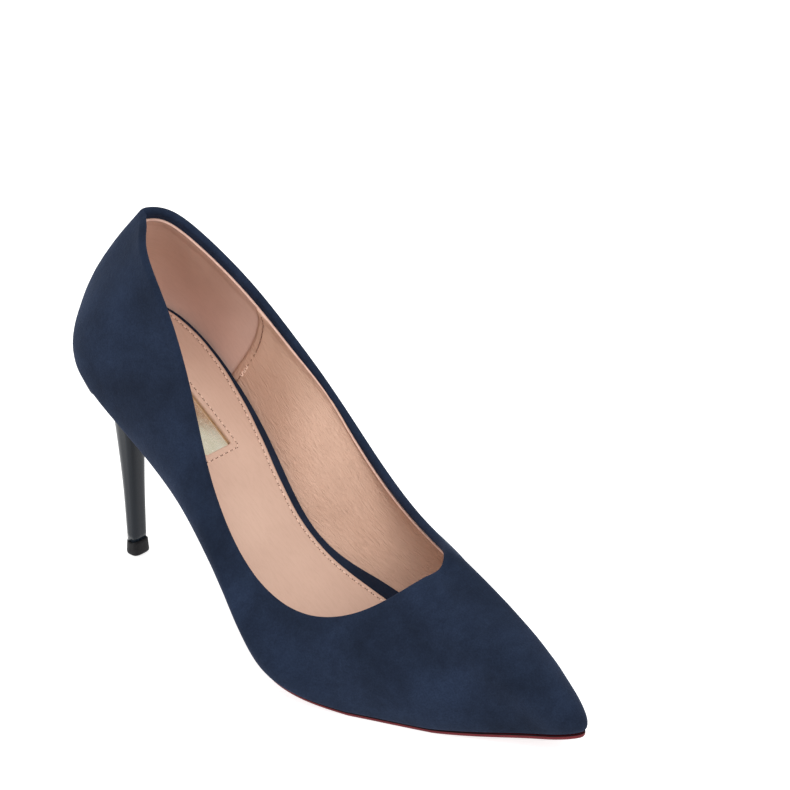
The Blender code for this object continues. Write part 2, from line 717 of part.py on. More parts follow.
def make_heel_core(heel, top_piece):
    lean = math.radians(-1.0)
    at = Vector((HEEL_AXIS_X + ORIGIN_SHIFT[0], ORIGIN_SHIFT[1], 0.0)) * MM
    place = Matrix.Translation(at) @ Matrix.Rotation(lean, 4, "Y")
    low = TOP_PIECE_HEIGHT + 1.5
    tube = ((0.95, low), (1.9, low), (1.9, 62.0), (0.95, 62.0))
    turned("heel_dowel", tube, place, STEEL, 16)
    bore = turned("dowel_bore", ((0, 0.0), (2.2, 0.0), (2.2, 62.6), (0, 62.6)), place, None, 16)
    cut(heel, bore)
    pin = ((0, 2.0), (1.6, 2.0), (1.6, 2.8), (0.65, 2.8), (0.65, 16.0), (0, 16.6))
    turned("top_piece_pin", pin, place, STEEL, 12)
    shape = ((0, 1.7), (1.9, 1.7), (1.9, 3.1), (0.95, 3.1), (0.95, 30.0), (0, 30.0))
    room = turned("pin_room", shape, place, None, 12)
    cut(top_piece, room)


# ---------------------------------------------------------------- build

clear_scene()
pieces = collection_named("high_heel_pump")
helpers = collection_named("helpers")
helpers.hide_render = True

SUEDE_NAVY = material_named("navy suede", (0.020, 0.034, 0.075), 0.95)
LINING_PINK = material_named("nude lining", (0.62, 0.36, 0.27), 0.6)
LINING_GRIP = material_named("nude heel grip", (0.52, 0.32, 0.25), 0.85)
TAPE_WHITE = material_named("white tape", (0.8, 0.8, 0.78), 0.8)
COUNTER_GREY = material_named("counter board", (0.55, 0.52, 0.46), 0.8)
PUFF_GREY = material_named("toe puff", (0.62, 0.6, 0.55), 0.8)
BOARD_BROWN = material_named("insole board", (0.36, 0.25, 0.16), 0.85)
BOARD_GREY = material_named("heel board", (0.2, 0.2, 0.2), 0.85)
CORK = material_named("filler", (0.42, 0.28, 0.16), 0.9)
STEEL = material_named("steel", (0.5, 0.5, 0.52), 0.35, 1.0)
SOLE_RED = material_named("outsole", (0.16, 0.012, 0.018), 0.4)
FOAM_CREAM = material_named("foam", (0.75, 0.7, 0.55), 0.9)
GOLD = material_named("pale gold", (0.78, 0.66, 0.42), 0.2, 1.0)
HEEL_GLOSS = material_named("glossy navy", (0.012, 0.018, 0.03), 0.15)
RUBBER_BLACK = material_named("black rubber", (0.01, 0.01, 0.01), 0.5)

make_upper()
make_topline_tape()
make_lining()
make_stiffeners()
insole_board = make_insole_board()
heel_board = make_heel_board()
shank_piece, shank_slot = make_shank()
cut(heel_board, shank_slot)
filler_piece = make_filler()
make_outsole()
foam_piece, wrap_piece, sock_piece = make_footbed()
make_name_plate(sock_piece)
heel_piece = make_heel()
top_piece_block = make_top_piece()
make_fasteners((heel_board, insole_board, filler_piece), heel_piece, filler_piece, insole_board, shank_piece)
make_heel_core(heel_piece, top_piece_block)
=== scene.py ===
"""Looks of the high heel pump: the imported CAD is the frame, and finer pieces stand in for what shows.

Lengths are millimetres in the part's design frame (x = 0 at the heel tip, the toe towards +X, the outer
side on -Y) until SHIFT centres the shoe, and metres in the scene.

The wall is the surface of the upper. A rib of it is a Bezier curve from the feather line (s, t = 0) up
to the top line (s, t = 1), where s runs round the shoe from the back centre along the lateral side to
the toe and back along the medial side. The sole, sock and footbed follow the bottom profile, which is
the height of the feather line as a function of x, and a height over it is measured along its normal.
The tables that shape them are the part's own.
"""

import math

import bmesh
import bpy
import numpy as np
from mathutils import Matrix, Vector, noise
from mathutils.geometry import delaunay_2d_cdt


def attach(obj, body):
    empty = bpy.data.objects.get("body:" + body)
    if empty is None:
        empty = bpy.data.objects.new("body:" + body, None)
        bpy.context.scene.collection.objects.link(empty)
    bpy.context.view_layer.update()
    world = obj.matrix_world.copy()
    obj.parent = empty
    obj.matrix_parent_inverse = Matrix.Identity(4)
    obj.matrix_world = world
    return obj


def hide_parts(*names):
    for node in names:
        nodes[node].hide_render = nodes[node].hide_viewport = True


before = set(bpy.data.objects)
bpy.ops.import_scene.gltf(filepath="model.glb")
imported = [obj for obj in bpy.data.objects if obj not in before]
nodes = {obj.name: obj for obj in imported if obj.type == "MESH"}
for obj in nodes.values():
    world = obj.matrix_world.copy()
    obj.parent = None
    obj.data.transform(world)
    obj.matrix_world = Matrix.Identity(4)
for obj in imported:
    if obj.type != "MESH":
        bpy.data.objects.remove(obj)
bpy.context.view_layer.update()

MM = 0.001
SHIFT = np.array([-103.37, 4.52, 0.0])

# ---------------------------------------------------------------- the part's own driving rows

# Feather line, back to toe: x, lateral half width, medial half width, height.
FEATHER = (
    (-15.5, 0.0, 0.0, 100.0), (-12.0, 14.0, 14.0, 98.0), (3.0, 29.2, 23.5, 91.5), (28.0, 31.7, 24.0, 76.0),
    (58.0, 31.0, 16.0, 53.5), (88.0, 38.6, 9.0, 29.0), (113.0, 46.0, 21.5, 12.0), (137.0, 36.5, 33.0, 2.7),
    (170.0, 23.5, 29.0, 2.0), (200.0, 10.0, 15.0, 6.5), (214.5, 6.0, 7.0, 10.2), (223.0, 0.0, 0.0, 12.5),
)
# Top line, back to toe: x, lateral half width, medial half width, lateral height, medial height.
TOP_LINE = (
    (9.5, 0.0, 0.0, 149.8, 149.8), (15.5, 7.1, 6.5, 148.2, 149.7), (26.0, 17.1, 13.5, 141.9, 141.5),
    (44.5, 23.9, 22.5, 124.5, 122.0), (60.5, 28.9, 30.5, 97.1, 99.5), (74.0, 32.8, 37.5, 66.6, 78.0),
    (95.0, 36.1, 36.5, 42.8, 60.0), (119.0, 34.2, 29.0, 33.7, 51.5), (139.0, 25.7, 20.5, 38.3, 50.5),
    (151.5, 15.5, 11.0, 47.7, 54.9), (156.0, 7.4, 4.8, 51.8, 54.9), (157.0, 0.0, 0.0, 52.4, 52.4),
)
# Rib handles at the same rows: out and up at the feather line, out and down at the top line, and the
# width of the lasting margin folded under the insole board.
RIBS = (
    (6.2, 15.0, 14.0, 18.0, 9.0), (3.0, 15.0, 12.0, 18.0, 9.0), (5.0, 16.0, 4.5, 18.0, 9.0),
    (6.3, 16.0, 4.7, 16.0, 9.0), (10.0, 14.0, 3.8, 14.0, 8.0), (6.3, 12.0, 3.3, 12.0, 8.0),
    (6.5, 12.0, 4.4, 10.0, 9.0), (2.6, 13.0, 6.5, 8.0, 10.0), (5.4, 12.0, 8.6, 8.0, 10.0),
    (2.0, 10.0, 11.0, 8.0, 6.0), (4.8, 9.0, 24.5, 10.0, 3.5), (5.8, 9.0, 28.0, 11.0, 3.0),
)
# Heel sections, tip to seat: share of the height, back x, breast x, half width.
HEEL_ROWS = (
    (0.00, -3.9, 2.6, 3.6), (0.24, -5.0, 2.7, 3.9), (0.48, -7.2, 3.1, 4.6), (0.63, -8.9, 3.3, 5.4),
    (0.74, -10.6, 3.6, 6.5), (0.84, -12.4, 4.4, 8.4), (0.93, -13.8, 7.5, 13.0), (1.00, -15.0, 12.0, 22.0),
)
TOE = len(FEATHER) - 1
AROUND = 2 * TOE

# Layers of the wall, as thickness or depth below the upper's outer face.
SUEDE = 1.0
SUEDE_MID = SUEDE / 2
LINING = 0.8
LINING_MID = 2.6
FOLD_RADIUS = 1.1
FOLD_LEG = 4.0
WALL_START = 1.6
LINING_TOP = 2.6
LINING_ROWS = 46

# The seam between the lining and the heel grip, as s at its top and bottom and its bow between them.
SEAM_S = (3.32, 3.22)
SEAM_BOW = 0.06
SEAM_LAP = 0.13
SEAM_RAISE = 0.62

# Heights over the bottom profile.
OUTSOLE_BOTTOM = -2.1
OUTSOLE_TOP = -0.3
FOAM_REAR = 4.3
FOAM_FRONT = 2.8
FOAM = 1.8
SOCK = 0.7
WRAP_TOP = FOAM + 0.05
SOCK_TOP = FOAM + 1.3

# Places along the shoe, and the window in the sock.
BREAST_X = 12.0
HEEL_BOARD_END_X = 100.0
SOCK_END_X = 192.0
WINDOW_X = (21.4, 48.4)
WINDOW_Y = -6.5
WINDOW_WIDTH = 13.5
WINDOW_CORNER = 0.7
FOOTBED_DEPTH = LINING_MID + LINING / 2 + 0.25
STITCH_INSET = 1.9
STITCH_DIP = 0.28

# The heel.
HEEL_AXIS_X = -0.7
SEAT_CENTRE_X = BREAST_X - 11.0
SEAT_INSET = 0.8
SEAT_GAP = 0.3
TOP_PIECE_HEIGHT = 5.5

# ---------------------------------------------------------------- curves and surfaces of the shoe


def closed_loop(rows, lateral, medial, z_lateral, z_medial):
    """Knots round the shoe from rows of the table; the other arguments are its columns."""
    out = [(r[0], -r[lateral], r[z_lateral]) for r in rows]
    back = [(r[0], r[medial], r[z_medial]) for r in rows[-2:0:-1]]
    return np.array(out + back)


def spline_slopes(knots):
    """Slopes of the periodic cubic spline through the knots."""
    count = len(knots)
    system = 4.0 * np.eye(count) + np.eye(count, k=1) + np.eye(count, k=-1)
    system[0, -1] = system[-1, 0] = 1.0
    return np.linalg.solve(system, 3.0 * (np.roll(knots, -1, 0) - np.roll(knots, 1, 0)))


def hermite(u, start, start_slope, end, end_slope):
    """The cubic from start (u = 0) to end (u = 1) with these slopes."""
    return (
        (2 * u**3 - 3 * u**2 + 1) * start
        + (u**3 - 2 * u**2 + u) * start_slope
        + (3 * u**2 - 2 * u**3) * end
        + (u**3 - u**2) * end_slope
    )


def spline(knots, slopes, s):
    """Points of the closed curve through the knots, one knot to each whole s."""
    cell = np.floor(s)
    a = cell.astype(int) % len(knots)
    b = (a + 1) % len(knots)
    return hermite((s - cell)[..., None], knots[a], slopes[a], knots[b], slopes[b])


FEATHER_LOOP = closed_loop(FEATHER, 1, 2, 3, 3)
TOP_LOOP = closed_loop(TOP_LINE, 1, 2, 3, 4)
RIB_LOOP = np.array(RIBS + RIBS[-2:0:-1])
FEATHER_SLOPES = spline_slopes(FEATHER_LOOP)
TOP_SLOPES = spline_slopes(TOP_LOOP)
RIB_SLOPES = spline_slopes(RIB_LOOP)


def feather(s):
    """The feather line, never lower than the sole is thick."""
    point = spline(FEATHER_LOOP, FEATHER_SLOPES, s)
    point[..., 2] = np.maximum(point[..., 2], -OUTSOLE_BOTTOM)
    return point


def outward(knots, slopes, s):
    """Unit outward plan normal of a closed spline."""
    step = spline(knots, slopes, s + 0.02) - spline(knots, slopes, s - 0.02)
    normal = np.stack([step[..., 1], -step[..., 0], 0.0 * step[..., 0]], axis=-1)
    return normal / np.linalg.norm(normal, axis=-1)[..., None]


def wall(s, t):
    """Points of the upper's outer face."""
    s, t = np.broadcast_arrays(np.asarray(s, float), np.asarray(t, float))
    low = feather(s)
    top = spline(TOP_LOOP, TOP_SLOPES, s)
    handle = spline(RIB_LOOP, RIB_SLOPES, s)
    up = np.array([0.0, 0.0, 1.0])
    low_out = outward(FEATHER_LOOP, FEATHER_SLOPES, s)
    top_out = outward(TOP_LOOP, TOP_SLOPES, s)
    low_handle = low + low_out * handle[..., 0:1] + up * handle[..., 1:2]
    top_handle = top + top_out * handle[..., 2:3] - up * handle[..., 3:4]
    u = t[..., None]
    return (
        (1 - u) ** 3 * low
        + 3 * (1 - u) ** 2 * u * low_handle
        + 3 * (1 - u) * u**2 * top_handle
        + u**3 * top
    )


def wall_frame(s, t):
    """Unit outward normal and unit up-the-rib direction of the wall."""
    along = wall(s + 0.02, t) - wall(s - 0.02, t)
    rise = wall(s, np.clip(t + 0.01, 0.0, 1.0)) - wall(s, np.clip(t - 0.01, 0.0, 1.0))
    rise /= np.linalg.norm(rise, axis=-1)[..., None]
    normal = np.cross(along, rise)
    return normal / np.linalg.norm(normal, axis=-1)[..., None], rise


def layer(s, t, depth):
    """Points a depth in from the wall's outer face."""
    s, t = np.broadcast_arrays(np.asarray(s, float), np.asarray(t, float))
    normal, _ = wall_frame(s, t)
    return wall(s, t) - normal * np.asarray(depth)[..., None]


def arc_length(path):
    """Length along a path, or along each column of a grid of points, from its first row."""
    step = np.linalg.norm(np.diff(path, axis=0), axis=-1)
    return np.concatenate([np.zeros((1, *step.shape[1:])), np.cumsum(step, axis=0)])


def t_at_arc(s, arc, from_top=False):
    """The t at a length along each rib from its foot, or down from its top."""
    t = np.linspace(0.0, 1.0, 61)
    length = arc_length(wall(s[None, :], t[:, None]))
    arc = np.broadcast_to(arc, s.shape)
    wanted = length[-1] - arc if from_top else arc
    return np.array([np.interp(wanted[j], length[:, j], t) for j in range(len(s))])


HALF_S = np.linspace(0.0, TOE, 400)
PROFILE_X = feather(HALF_S)[:, 0]
PROFILE_Z = feather(HALF_S)[:, 2]


def profile(x, h=0.0):
    """(x, z) of a point h over the bottom profile at x, and the profile's unit normal there."""
    z = np.interp(x, PROFILE_X, PROFILE_Z)
    slope = (np.interp(x + 1.0, PROFILE_X, PROFILE_Z) - np.interp(x - 1.0, PROFILE_X, PROFILE_Z)) / 2.0
    slope = np.clip(slope, -1.2, 0.4)
    size = np.sqrt(1.0 + slope**2)
    return x - h * slope / size, z + h / size, -slope / size, 1.0 / size


def on_profile(plan, h):
    """Points h over the bottom profile, drawn from plan points of their feet."""
    x, z, _, _ = profile(plan[:, 0], h)
    return np.stack([x, plan[:, 1], z], axis=-1)


def s_at_x(x):
    return float(np.interp(x, PROFILE_X, HALF_S))


def outline(s, inset):
    """Plan points of the feather line drawn in by inset."""
    return (feather(s) - outward(FEATHER_LOOP, FEATHER_SLOPES, s) * np.asarray(inset)[..., None])[..., :2]


def inner_outline(s, h, depth):
    """Where the surface depth in from the wall's outer face stands h over the profile: plan points of
    the foot of each point on the profile."""
    t = np.linspace(0.0, 0.7, 50)
    depth = np.broadcast_to(depth, s.shape)
    rib = layer(s[None, :], t[:, None], np.broadcast_to(depth, (len(t), len(s))))
    _, ground, _, upright = profile(rib[..., 0])
    over = (rib[..., 2] - ground) * upright
    h = np.broadcast_to(h, s.shape)
    chosen = np.array([np.interp(h[j], over[:, j], t) for j in range(len(s))])
    plan = layer(s, chosen, depth)[..., :2]
    foot = plan[:, 0]
    for _ in range(4):
        foot = foot + 0.7 * (plan[:, 0] - profile(foot, h)[0])
    return np.stack([foot, plan[:, 1]], axis=-1)


def middle_y(x):
    """The middle of the feather line's two sides at x."""
    s = np.interp(x, PROFILE_X, HALF_S)
    return (feather(s)[..., 1] + feather(AROUND - s)[..., 1]) / 2.0


def smooth(x, start, end):
    """0 before start, 1 after end and smooth between."""
    u = np.clip((x - start) / (end - start), 0.0, 1.0)
    return u * u * (3 - 2 * u)


def foam_bottom(x):
    """The foam rests on the heel board and shank behind, and on the insole board in front."""
    front = smooth(x, HEEL_BOARD_END_X + 5.0, HEEL_BOARD_END_X + 30.0)
    return FOAM_REAR + (FOAM_FRONT - FOAM_REAR) * front


def over_foam(plan, height):
    """Points a height over the underside of the foam."""
    return on_profile(plan, foam_bottom(plan[:, 0]) + height)


def left_normals(path):
    """Unit plan normals on the left of a path."""
    step = np.gradient(path, axis=0)
    normal = np.stack([-step[:, 1], step[:, 0]], axis=-1)
    return normal / np.linalg.norm(normal, axis=-1)[:, None]


def plate_edges(curve, rows, x_from=None, x_to=None):
    """Lateral and medial plan edges at rows of equal x, packed closer at an end left as None."""
    s = np.linspace(0.0, TOE, 600)
    lateral = curve(s)
    medial = curve(AROUND - s)
    u = np.linspace(0.0, 1.0, rows)
    if x_from is None:
        u = 1.0 - np.cos(np.pi * u / 2.0)
    elif x_to is None:
        u = np.sin(np.pi * u / 2.0)
    start = lateral[0, 0] if x_from is None else x_from
    end = lateral[-1, 0] if x_to is None else x_to
    x = start + (end - start) * u
    return [
        np.stack([x, np.interp(x, np.maximum.accumulate(edge[:, 0]), edge[:, 1])], axis=-1)
        for edge in (lateral, medial)
    ]


# ---------------------------------------------------------------- nodes of the materials

# Sockets of the colour Mix node, which repeats its socket names for each data type.
MIX_FACTOR, MIX_A, MIX_B, MIX_RESULT = 0, 6, 7, 2


class Shader:
    """A Principled material with short calls for the nodes that feed it."""

    def __init__(self, name, **sockets):
        self.material = bpy.data.materials.new(name)
        self.material.use_nodes = True
        self.tree = self.material.node_tree
        self.base = self.tree.nodes["Principled BSDF"]
        for key, value in sockets.items():
            self.base.inputs[key.replace("_", " ")].default_value = value
        self.place = self.add("ShaderNodeTexCoord").outputs["Object"]

    def add(self, kind, **properties):
        node = self.tree.nodes.new(kind)
        for key, value in properties.items():
            setattr(node, key, value)
        return node

    def link(self, source, target):
        self.tree.links.new(source, target)

    def uv(self):
        """Millimetres along and across a sheet."""
        return self.add("ShaderNodeUVMap", uv_map="flow").outputs["UV"]

    def mapped(self, source, angle=0.0, stretch=(1.0, 1.0, 1.0)):
        """Coordinates turned by an angle in degrees and stretched."""
        node = self.add("ShaderNodeMapping")
        node.inputs["Rotation"].default_value = (0.0, 0.0, math.radians(angle))
        node.inputs["Scale"].default_value = stretch
        self.link(source, node.inputs["Vector"])
        return node.outputs["Vector"]

    def noise(self, scale, detail=3.0, rough=0.55, source=None, distortion=0.0):
        node = self.add("ShaderNodeTexNoise")
        node.inputs["Scale"].default_value = scale
        node.inputs["Detail"].default_value = detail
        node.inputs["Roughness"].default_value = rough
        node.inputs["Distortion"].default_value = distortion
        self.link(source or self.place, node.inputs["Vector"])
        return node.outputs["Fac"]

    def ramp(self, source, low, high, start=0.3, end=0.7):
        """A number or a colour that goes from low to high as source goes from start to end."""
        node = self.add("ShaderNodeMapRange")
        node.inputs["From Min"].default_value = start
        node.inputs["From Max"].default_value = end
        self.link(source, node.inputs["Value"])
        if not isinstance(low, tuple):
            node.inputs["To Min"].default_value = low
            node.inputs["To Max"].default_value = high
            return node.outputs["Result"]
        return self.mix(node.outputs["Result"], low, high)

    def mix(self, factor, a, b, blend="MIX"):
        node = self.add("ShaderNodeMix", data_type="RGBA", blend_type=blend)
        self.feed(factor, node.inputs[MIX_FACTOR])
        self.feed(a, node.inputs[MIX_A])
        self.feed(b, node.inputs[MIX_B])
        return node.outputs[MIX_RESULT]

    def tinted(self, tone, tint):
        """The tone multiplied by a tint."""
        return self.mix(1.0, tone, tint, "MULTIPLY")

    def feed(self, value, socket):
        """Set a socket to a number or a colour, or link it to a node's output."""
        if isinstance(value, tuple):
            socket.default_value = (*value, 1.0)
        elif isinstance(value, float):
            socket.default_value = value
        else:
            self.link(value, socket)

    def colour(self, source):
        self.feed(source, self.base.inputs["Base Color"])

    def roughness(self, source):
        self.feed(source, self.base.inputs["Roughness"])

    def bump(self, *heights):
        """Each height is (source, millimetres)."""
        last = None
        for source, depth in heights:
            node = self.add("ShaderNodeBump")
            node.inputs["Strength"].default_value = 1.0
            node.inputs["Distance"].default_value = depth * MM
            self.link(source, node.inputs["Height"])
            if last is not None:
                self.link(last, node.inputs["Normal"])
            last = node.outputs["Normal"]
        self.link(last, self.base.inputs["Normal"])


def suede_material(name, dark, light, turn=0.0):
    """Faux suede: a short nap, brushed here and there the other way, so it is lighter or darker.

    turn, in degrees, gives each suede its own brushed patches.
    """
    m = Shader(name, Roughness=0.95, Sheen_Weight=0.08, Sheen_Roughness=0.4, Specular_IOR_Level=0.15)
    m.base.inputs["Sheen Tint"].default_value = (0.30, 0.45, 0.85, 1.0)
    brushed = m.noise(46.0, 4.0, 0.5, m.mapped(m.place, 25.0 + turn), 0.4)
    strokes = m.noise(240.0, 4.0, 0.6, m.mapped(m.place, 60.0, (1.0, 0.45, 1.0)), 0.8)
    nap = m.noise(1500.0, 4.0, 0.75)
    tone = m.ramp(brushed, dark, light, 0.22, 0.82)
    tone = m.mix(m.ramp(strokes, 0.0, 0.5, 0.38, 0.72), tone, m.tinted(tone, (1.55, 1.5, 1.4)))
    tone = m.mix(m.ramp(nap, 0.0, 1.0, 0.36, 0.66), tone, m.tinted(tone, (1.45, 1.45, 1.4)))
    m.colour(tone)
    m.bump((nap, 0.12), (m.noise(700.0, 4.0, 0.6), 0.12), (strokes, 0.15))
    return m.material


# Heights in metres of the painted light low in the heel grip.
PALE_LOW, PALE_HIGH = 0.101, 0.126


def lining_material(name, dark, light, wrinkle, rough, pale_below=False):
    """Nude synthetic leather with slanting creases, wrinkle millimetres deep, painted shade darkening their
    hollows, and a fine grain.

    pale_below paints light on it towards the footbed, making it paler and cooler between the heights
    PALE_HIGH and PALE_LOW in metres.
    """
    m = Shader(name, Roughness=rough, Specular_IOR_Level=0.25)
    patches = m.noise(30.0, 3.0, 0.5)
    creases = m.noise(0.45, 4.0, 0.62, m.mapped(m.uv(), 38.0, (0.5, 2.2, 1.0)), 1.1)
    grain = m.noise(1700.0, 2.0, 0.6)
    tone = m.ramp(patches, dark, light)
    # Painted shade: the tone darkens in the hollows of the creases.
    tone = m.mix(m.ramp(creases, 0.16, 0.0, 0.36, 0.55), tone, m.tinted(tone, (0.72, 0.66, 0.62)))
    # Painted light: paler and cooler towards the footbed.
    if pale_below:
        height = m.add("ShaderNodeSeparateXYZ")
        m.link(m.place, height.inputs[0])
        share = m.ramp(height.outputs["Z"], 1.0, 0.0, PALE_LOW, PALE_HIGH)
        tone = m.mix(share, tone, m.tinted(tone, (1.22, 1.32, 1.42)))
    m.colour(tone)
    m.roughness(m.ramp(grain, rough - 0.08, rough + 0.08))
    m.bump((creases, wrinkle), (grain, 0.03))
    return m.material


def plain_material(name, dark, light, scale, rough, depth, **sockets):
    """Two tones of one stuff with a grain of its own, depth millimetres deep."""
    m = Shader(name, Roughness=rough, **sockets)
    grain = m.noise(scale, 4.0, 0.6)
    m.colour(m.ramp(grain, dark, light))
    m.roughness(m.ramp(m.noise(scale * 0.4), rough - 0.06, rough + 0.06))
    m.bump((grain, depth))
    return m.material


NAVY = suede_material("navy_suede", (0.0042, 0.0074, 0.0165), (0.0114, 0.0195, 0.0425))
NAVY_EDGE = suede_material("navy_suede_edge", (0.0052, 0.0084, 0.0180), (0.0095, 0.0150, 0.0320), 40.0)
NUDE = lining_material("nude_lining", (0.60, 0.374, 0.273), (0.69, 0.443, 0.330), 0.62, 0.48)
# The heel grip gets painted light towards the footbed.
GRIP = lining_material("nude_heel_grip", (0.52, 0.320, 0.248), (0.60, 0.385, 0.300), 0.03, 0.75, True)
SOCK_NUDE = lining_material("nude_sock", (0.57, 0.375, 0.288), (0.63, 0.425, 0.330), 0.05, 0.5)
RIM = plain_material("nude_rim", (0.66, 0.40, 0.32), (0.80, 0.53, 0.43), 500.0, 0.55, 0.05)
THREAD = plain_material("nude_thread", (0.74, 0.50, 0.38), (0.90, 0.66, 0.54), 3000.0, 0.6, 0.08)
SEAM_THREAD = plain_material("brown_thread", (0.28, 0.14, 0.095), (0.40, 0.22, 0.15), 3000.0, 0.6, 0.08)
# Needle holes are drawn as dark plugs: painted shade in the holes.
HOLE_SHADE = plain_material("stitch_hole_shade", (0.10, 0.045, 0.03), (0.16, 0.07, 0.05), 900.0, 0.9, 0.02)
SOLE_RED = plain_material(
    "red_sole", (0.110, 0.010, 0.014), (0.140, 0.014, 0.019), 260.0, 0.40, 0.02, Specular_IOR_Level=0.15
)
# Painted shade in the gap between the upper and the top of the sole's edge.
SOLE_GAP_SHADE = plain_material(
    "sole_gap_shade", (0.010, 0.005, 0.006), (0.022, 0.010, 0.012), 400.0, 0.6, 0.04, Specular_IOR_Level=0.1
)
RUBBER = plain_material(
    "black_rubber", (0.006, 0.006, 0.007), (0.016, 0.016, 0.018), 900.0, 0.5, 0.05, Specular_IOR_Level=0.15
)


def heel_material():
    """Glossy lacquer with faint streaks down the heel."""
    m = Shader(
        "glossy_slate_navy", Roughness=0.2, Coat_Weight=0.1, Coat_Roughness=0.08, Specular_IOR_Level=0.2
    )
    flow = m.noise(120.0, 2.0, 0.5, m.mapped(m.place, 0.0, (1.0, 1.0, 0.08)))
    m.colour(m.ramp(flow, (0.0080, 0.0120, 0.0175), (0.0115, 0.0165, 0.0240)))
    m.roughness(m.ramp(m.noise(500.0), 0.13, 0.20))
    m.bump((m.noise(140.0, 2.0), 0.03))
    return m.material


def gold_material():
    """Pale gold foil, a little uneven."""
    m = Shader("pale_gold", Metallic=1.0, Roughness=0.2)
    m.colour(m.ramp(m.noise(160.0, 3.0), (0.90, 0.83, 0.62), (0.97, 0.92, 0.76)))
    m.roughness(m.ramp(m.noise(900.0, 3.0), 0.14, 0.28))
    m.bump((m.noise(110.0, 2.0), 0.10))
    return m.material


HEEL_GLOSS = heel_material()
GOLD = gold_material()

# ---------------------------------------------------------------- meshes


def in_scene(name, points, faces, materials, slot, replaced=(), indices=None, uv=None, weld=0.0):
    """Put a mesh given in the design frame in the scene, on the root body.

    weld, in millimetres, joins points that fall together and closes any open edge.
    """
    mesh = bpy.data.meshes.new(name)
    mesh.from_pydata([tuple(p) for p in (np.asarray(points) + SHIFT) * MM], [], faces)
    for material in materials:
        mesh.materials.append(material)
    if indices is not None:
        mesh.polygons.foreach_set("material_index", indices)
    if uv is not None:
        flow = mesh.uv_layers.new(name="flow")
        corners = np.zeros(len(mesh.loops), np.int32)
        mesh.loops.foreach_get("vertex_index", corners)
        flow.data.foreach_set("uv", np.asarray(uv, np.float32)[corners].ravel())
    if weld:
        work = bmesh.new()
        work.from_mesh(mesh)
        bmesh.ops.remove_doubles(work, verts=work.verts, dist=weld * MM)
        bmesh.ops.dissolve_degenerate(work, edges=work.edges, dist=0.002 * MM)
        open_edges = [e for e in work.edges if e.is_boundary]
        if open_edges:
            bmesh.ops.holes_fill(work, edges=open_edges, sides=0)
        bmesh.ops.recalc_face_normals(work, faces=work.faces)
        work.to_mesh(mesh)
        work.free()
    mesh.shade_smooth()
    obj = bpy.data.objects.new(name, mesh)
    bpy.context.scene.collection.objects.link(obj)
    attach(obj, "root")
    if replaced:
        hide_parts(*replaced)
    return obj


def grid_faces(rows, columns, wrap):
    """Quads of a grid of points, closed round its columns if wrap."""
    faces = []
    for i in range(rows - 1):
        for j in range(columns if wrap else columns - 1):
            k = (j + 1) % columns
            faces.append((i * columns + j, i * columns + k, (i + 1) * columns + k, (i + 1) * columns + j))
    return faces


def grid_piece(name, grid, wrap, materials, slot, replaced=(), **options):
    """A piece whose mesh is a grid of points."""
    faces = grid_faces(*grid.shape[:2], wrap)
    return in_scene(name, grid.reshape(-1, 3), faces, materials, slot, replaced, **options)


def sheet_piece(name, grid, material, slot, replaced, thickness, wrap=False, uv=None):
    """A sheet of even thickness about a grid of points."""
    obj = grid_piece(name, grid, wrap, [material], slot, replaced, uv=uv)
    solidify = obj.modifiers.new("thickness", "SOLIDIFY")
    solidify.thickness = thickness * MM
    solidify.offset = 0.0


def relief(points, size, amount, seed):
    """Smooth hand-made unevenness: a signed length at each point."""
    shape = points.shape[:-1]
    flat = points.reshape(-1, 3) / size + seed
    return amount * np.array([noise.noise(Vector(p)) for p in flat]).reshape(shape)


def make_upper():
    """The suede from its lasting margin, round the feather edge, up the wall and folded in at the top."""
    s = np.linspace(0.0, AROUND, 528, endpoint=False)
    margin = spline(RIB_LOOP, RIB_SLOPES, s)[:, 4]
    margin = np.minimum(margin, 2.2 + 0.14 * np.abs(s - TOE) ** 3)
    insets = (margin, 0.8 * margin, 0.62 * margin, np.full(s.shape, 1.2))
    rows = [on_profile(outline(s, inset), SUEDE_MID) for inset in insets]
    start = t_at_arc(s, WALL_START)
    corner = on_profile(outline(s, np.full(s.shape, SUEDE_MID)), SUEDE_MID)
    first = layer(s, start, SUEDE_MID)
    low = rows[-1]
    for q in (0.25, 0.5, 0.75):
        rows.append((1 - q) ** 2 * low + 2 * q * (1 - q) * corner + q * q * first)
    for share in np.linspace(0.0, 1.0, 48):
        t = start + (1.0 - start) * share
        normal, _ = wall_frame(s, t)
        point = layer(s, t, SUEDE_MID)
        fade = smooth(share, 0.0, 0.08) * (1.0 - smooth(share, 0.9, 1.0))
        lift = relief(point, 26.0, 0.30, 3.0) + relief(point, 7.0, 0.07, 9.0)
        rows.append(point + normal * (lift * fade)[:, None])
    normal, rise = wall_frame(s, np.ones_like(s))
    centre = wall(s, 1.0) - normal * (SUEDE_MID + FOLD_RADIUS)
    for angle in np.radians(np.arange(15.0, 166.0, 15.0)):
        rows.append(centre + FOLD_RADIUS * (np.cos(angle) * normal + np.sin(angle) * rise))
    for arc in (0.0, 0.8, 1.8, 2.8, FOLD_LEG):
        rows.append(layer(s, t_at_arc(s, arc, from_top=True), SUEDE_MID + 2 * FOLD_RADIUS))
    sheet_piece("upper_suede", np.array(rows), NAVY, "suede", ["upper"], SUEDE, wrap=True)


def lining_depth(from_top, extra=0.0):
    """The lining lies over the turned-in edge of the suede, then on the stiffeners."""
    return LINING_MID + 1.05 * (1.0 - smooth(from_top, 3.2, 9.0)) + extra


def seam(q):
    """s of the lateral seam at a share of the way up the lining."""
    return SEAM_S[1] + (SEAM_S[0] - SEAM_S[1]) * q + SEAM_BOW * np.sin(np.pi * q)


def up_lining(s, q):
    """t at a share of the way up the lining, and how far below the lining's top it is."""
    low = t_at_arc(s, WALL_START)
    high = t_at_arc(s, LINING_TOP, from_top=True)
    t = low + (high - low) * q
    return t, np.linalg.norm(wall(s, high) - wall(s, t), axis=-1)


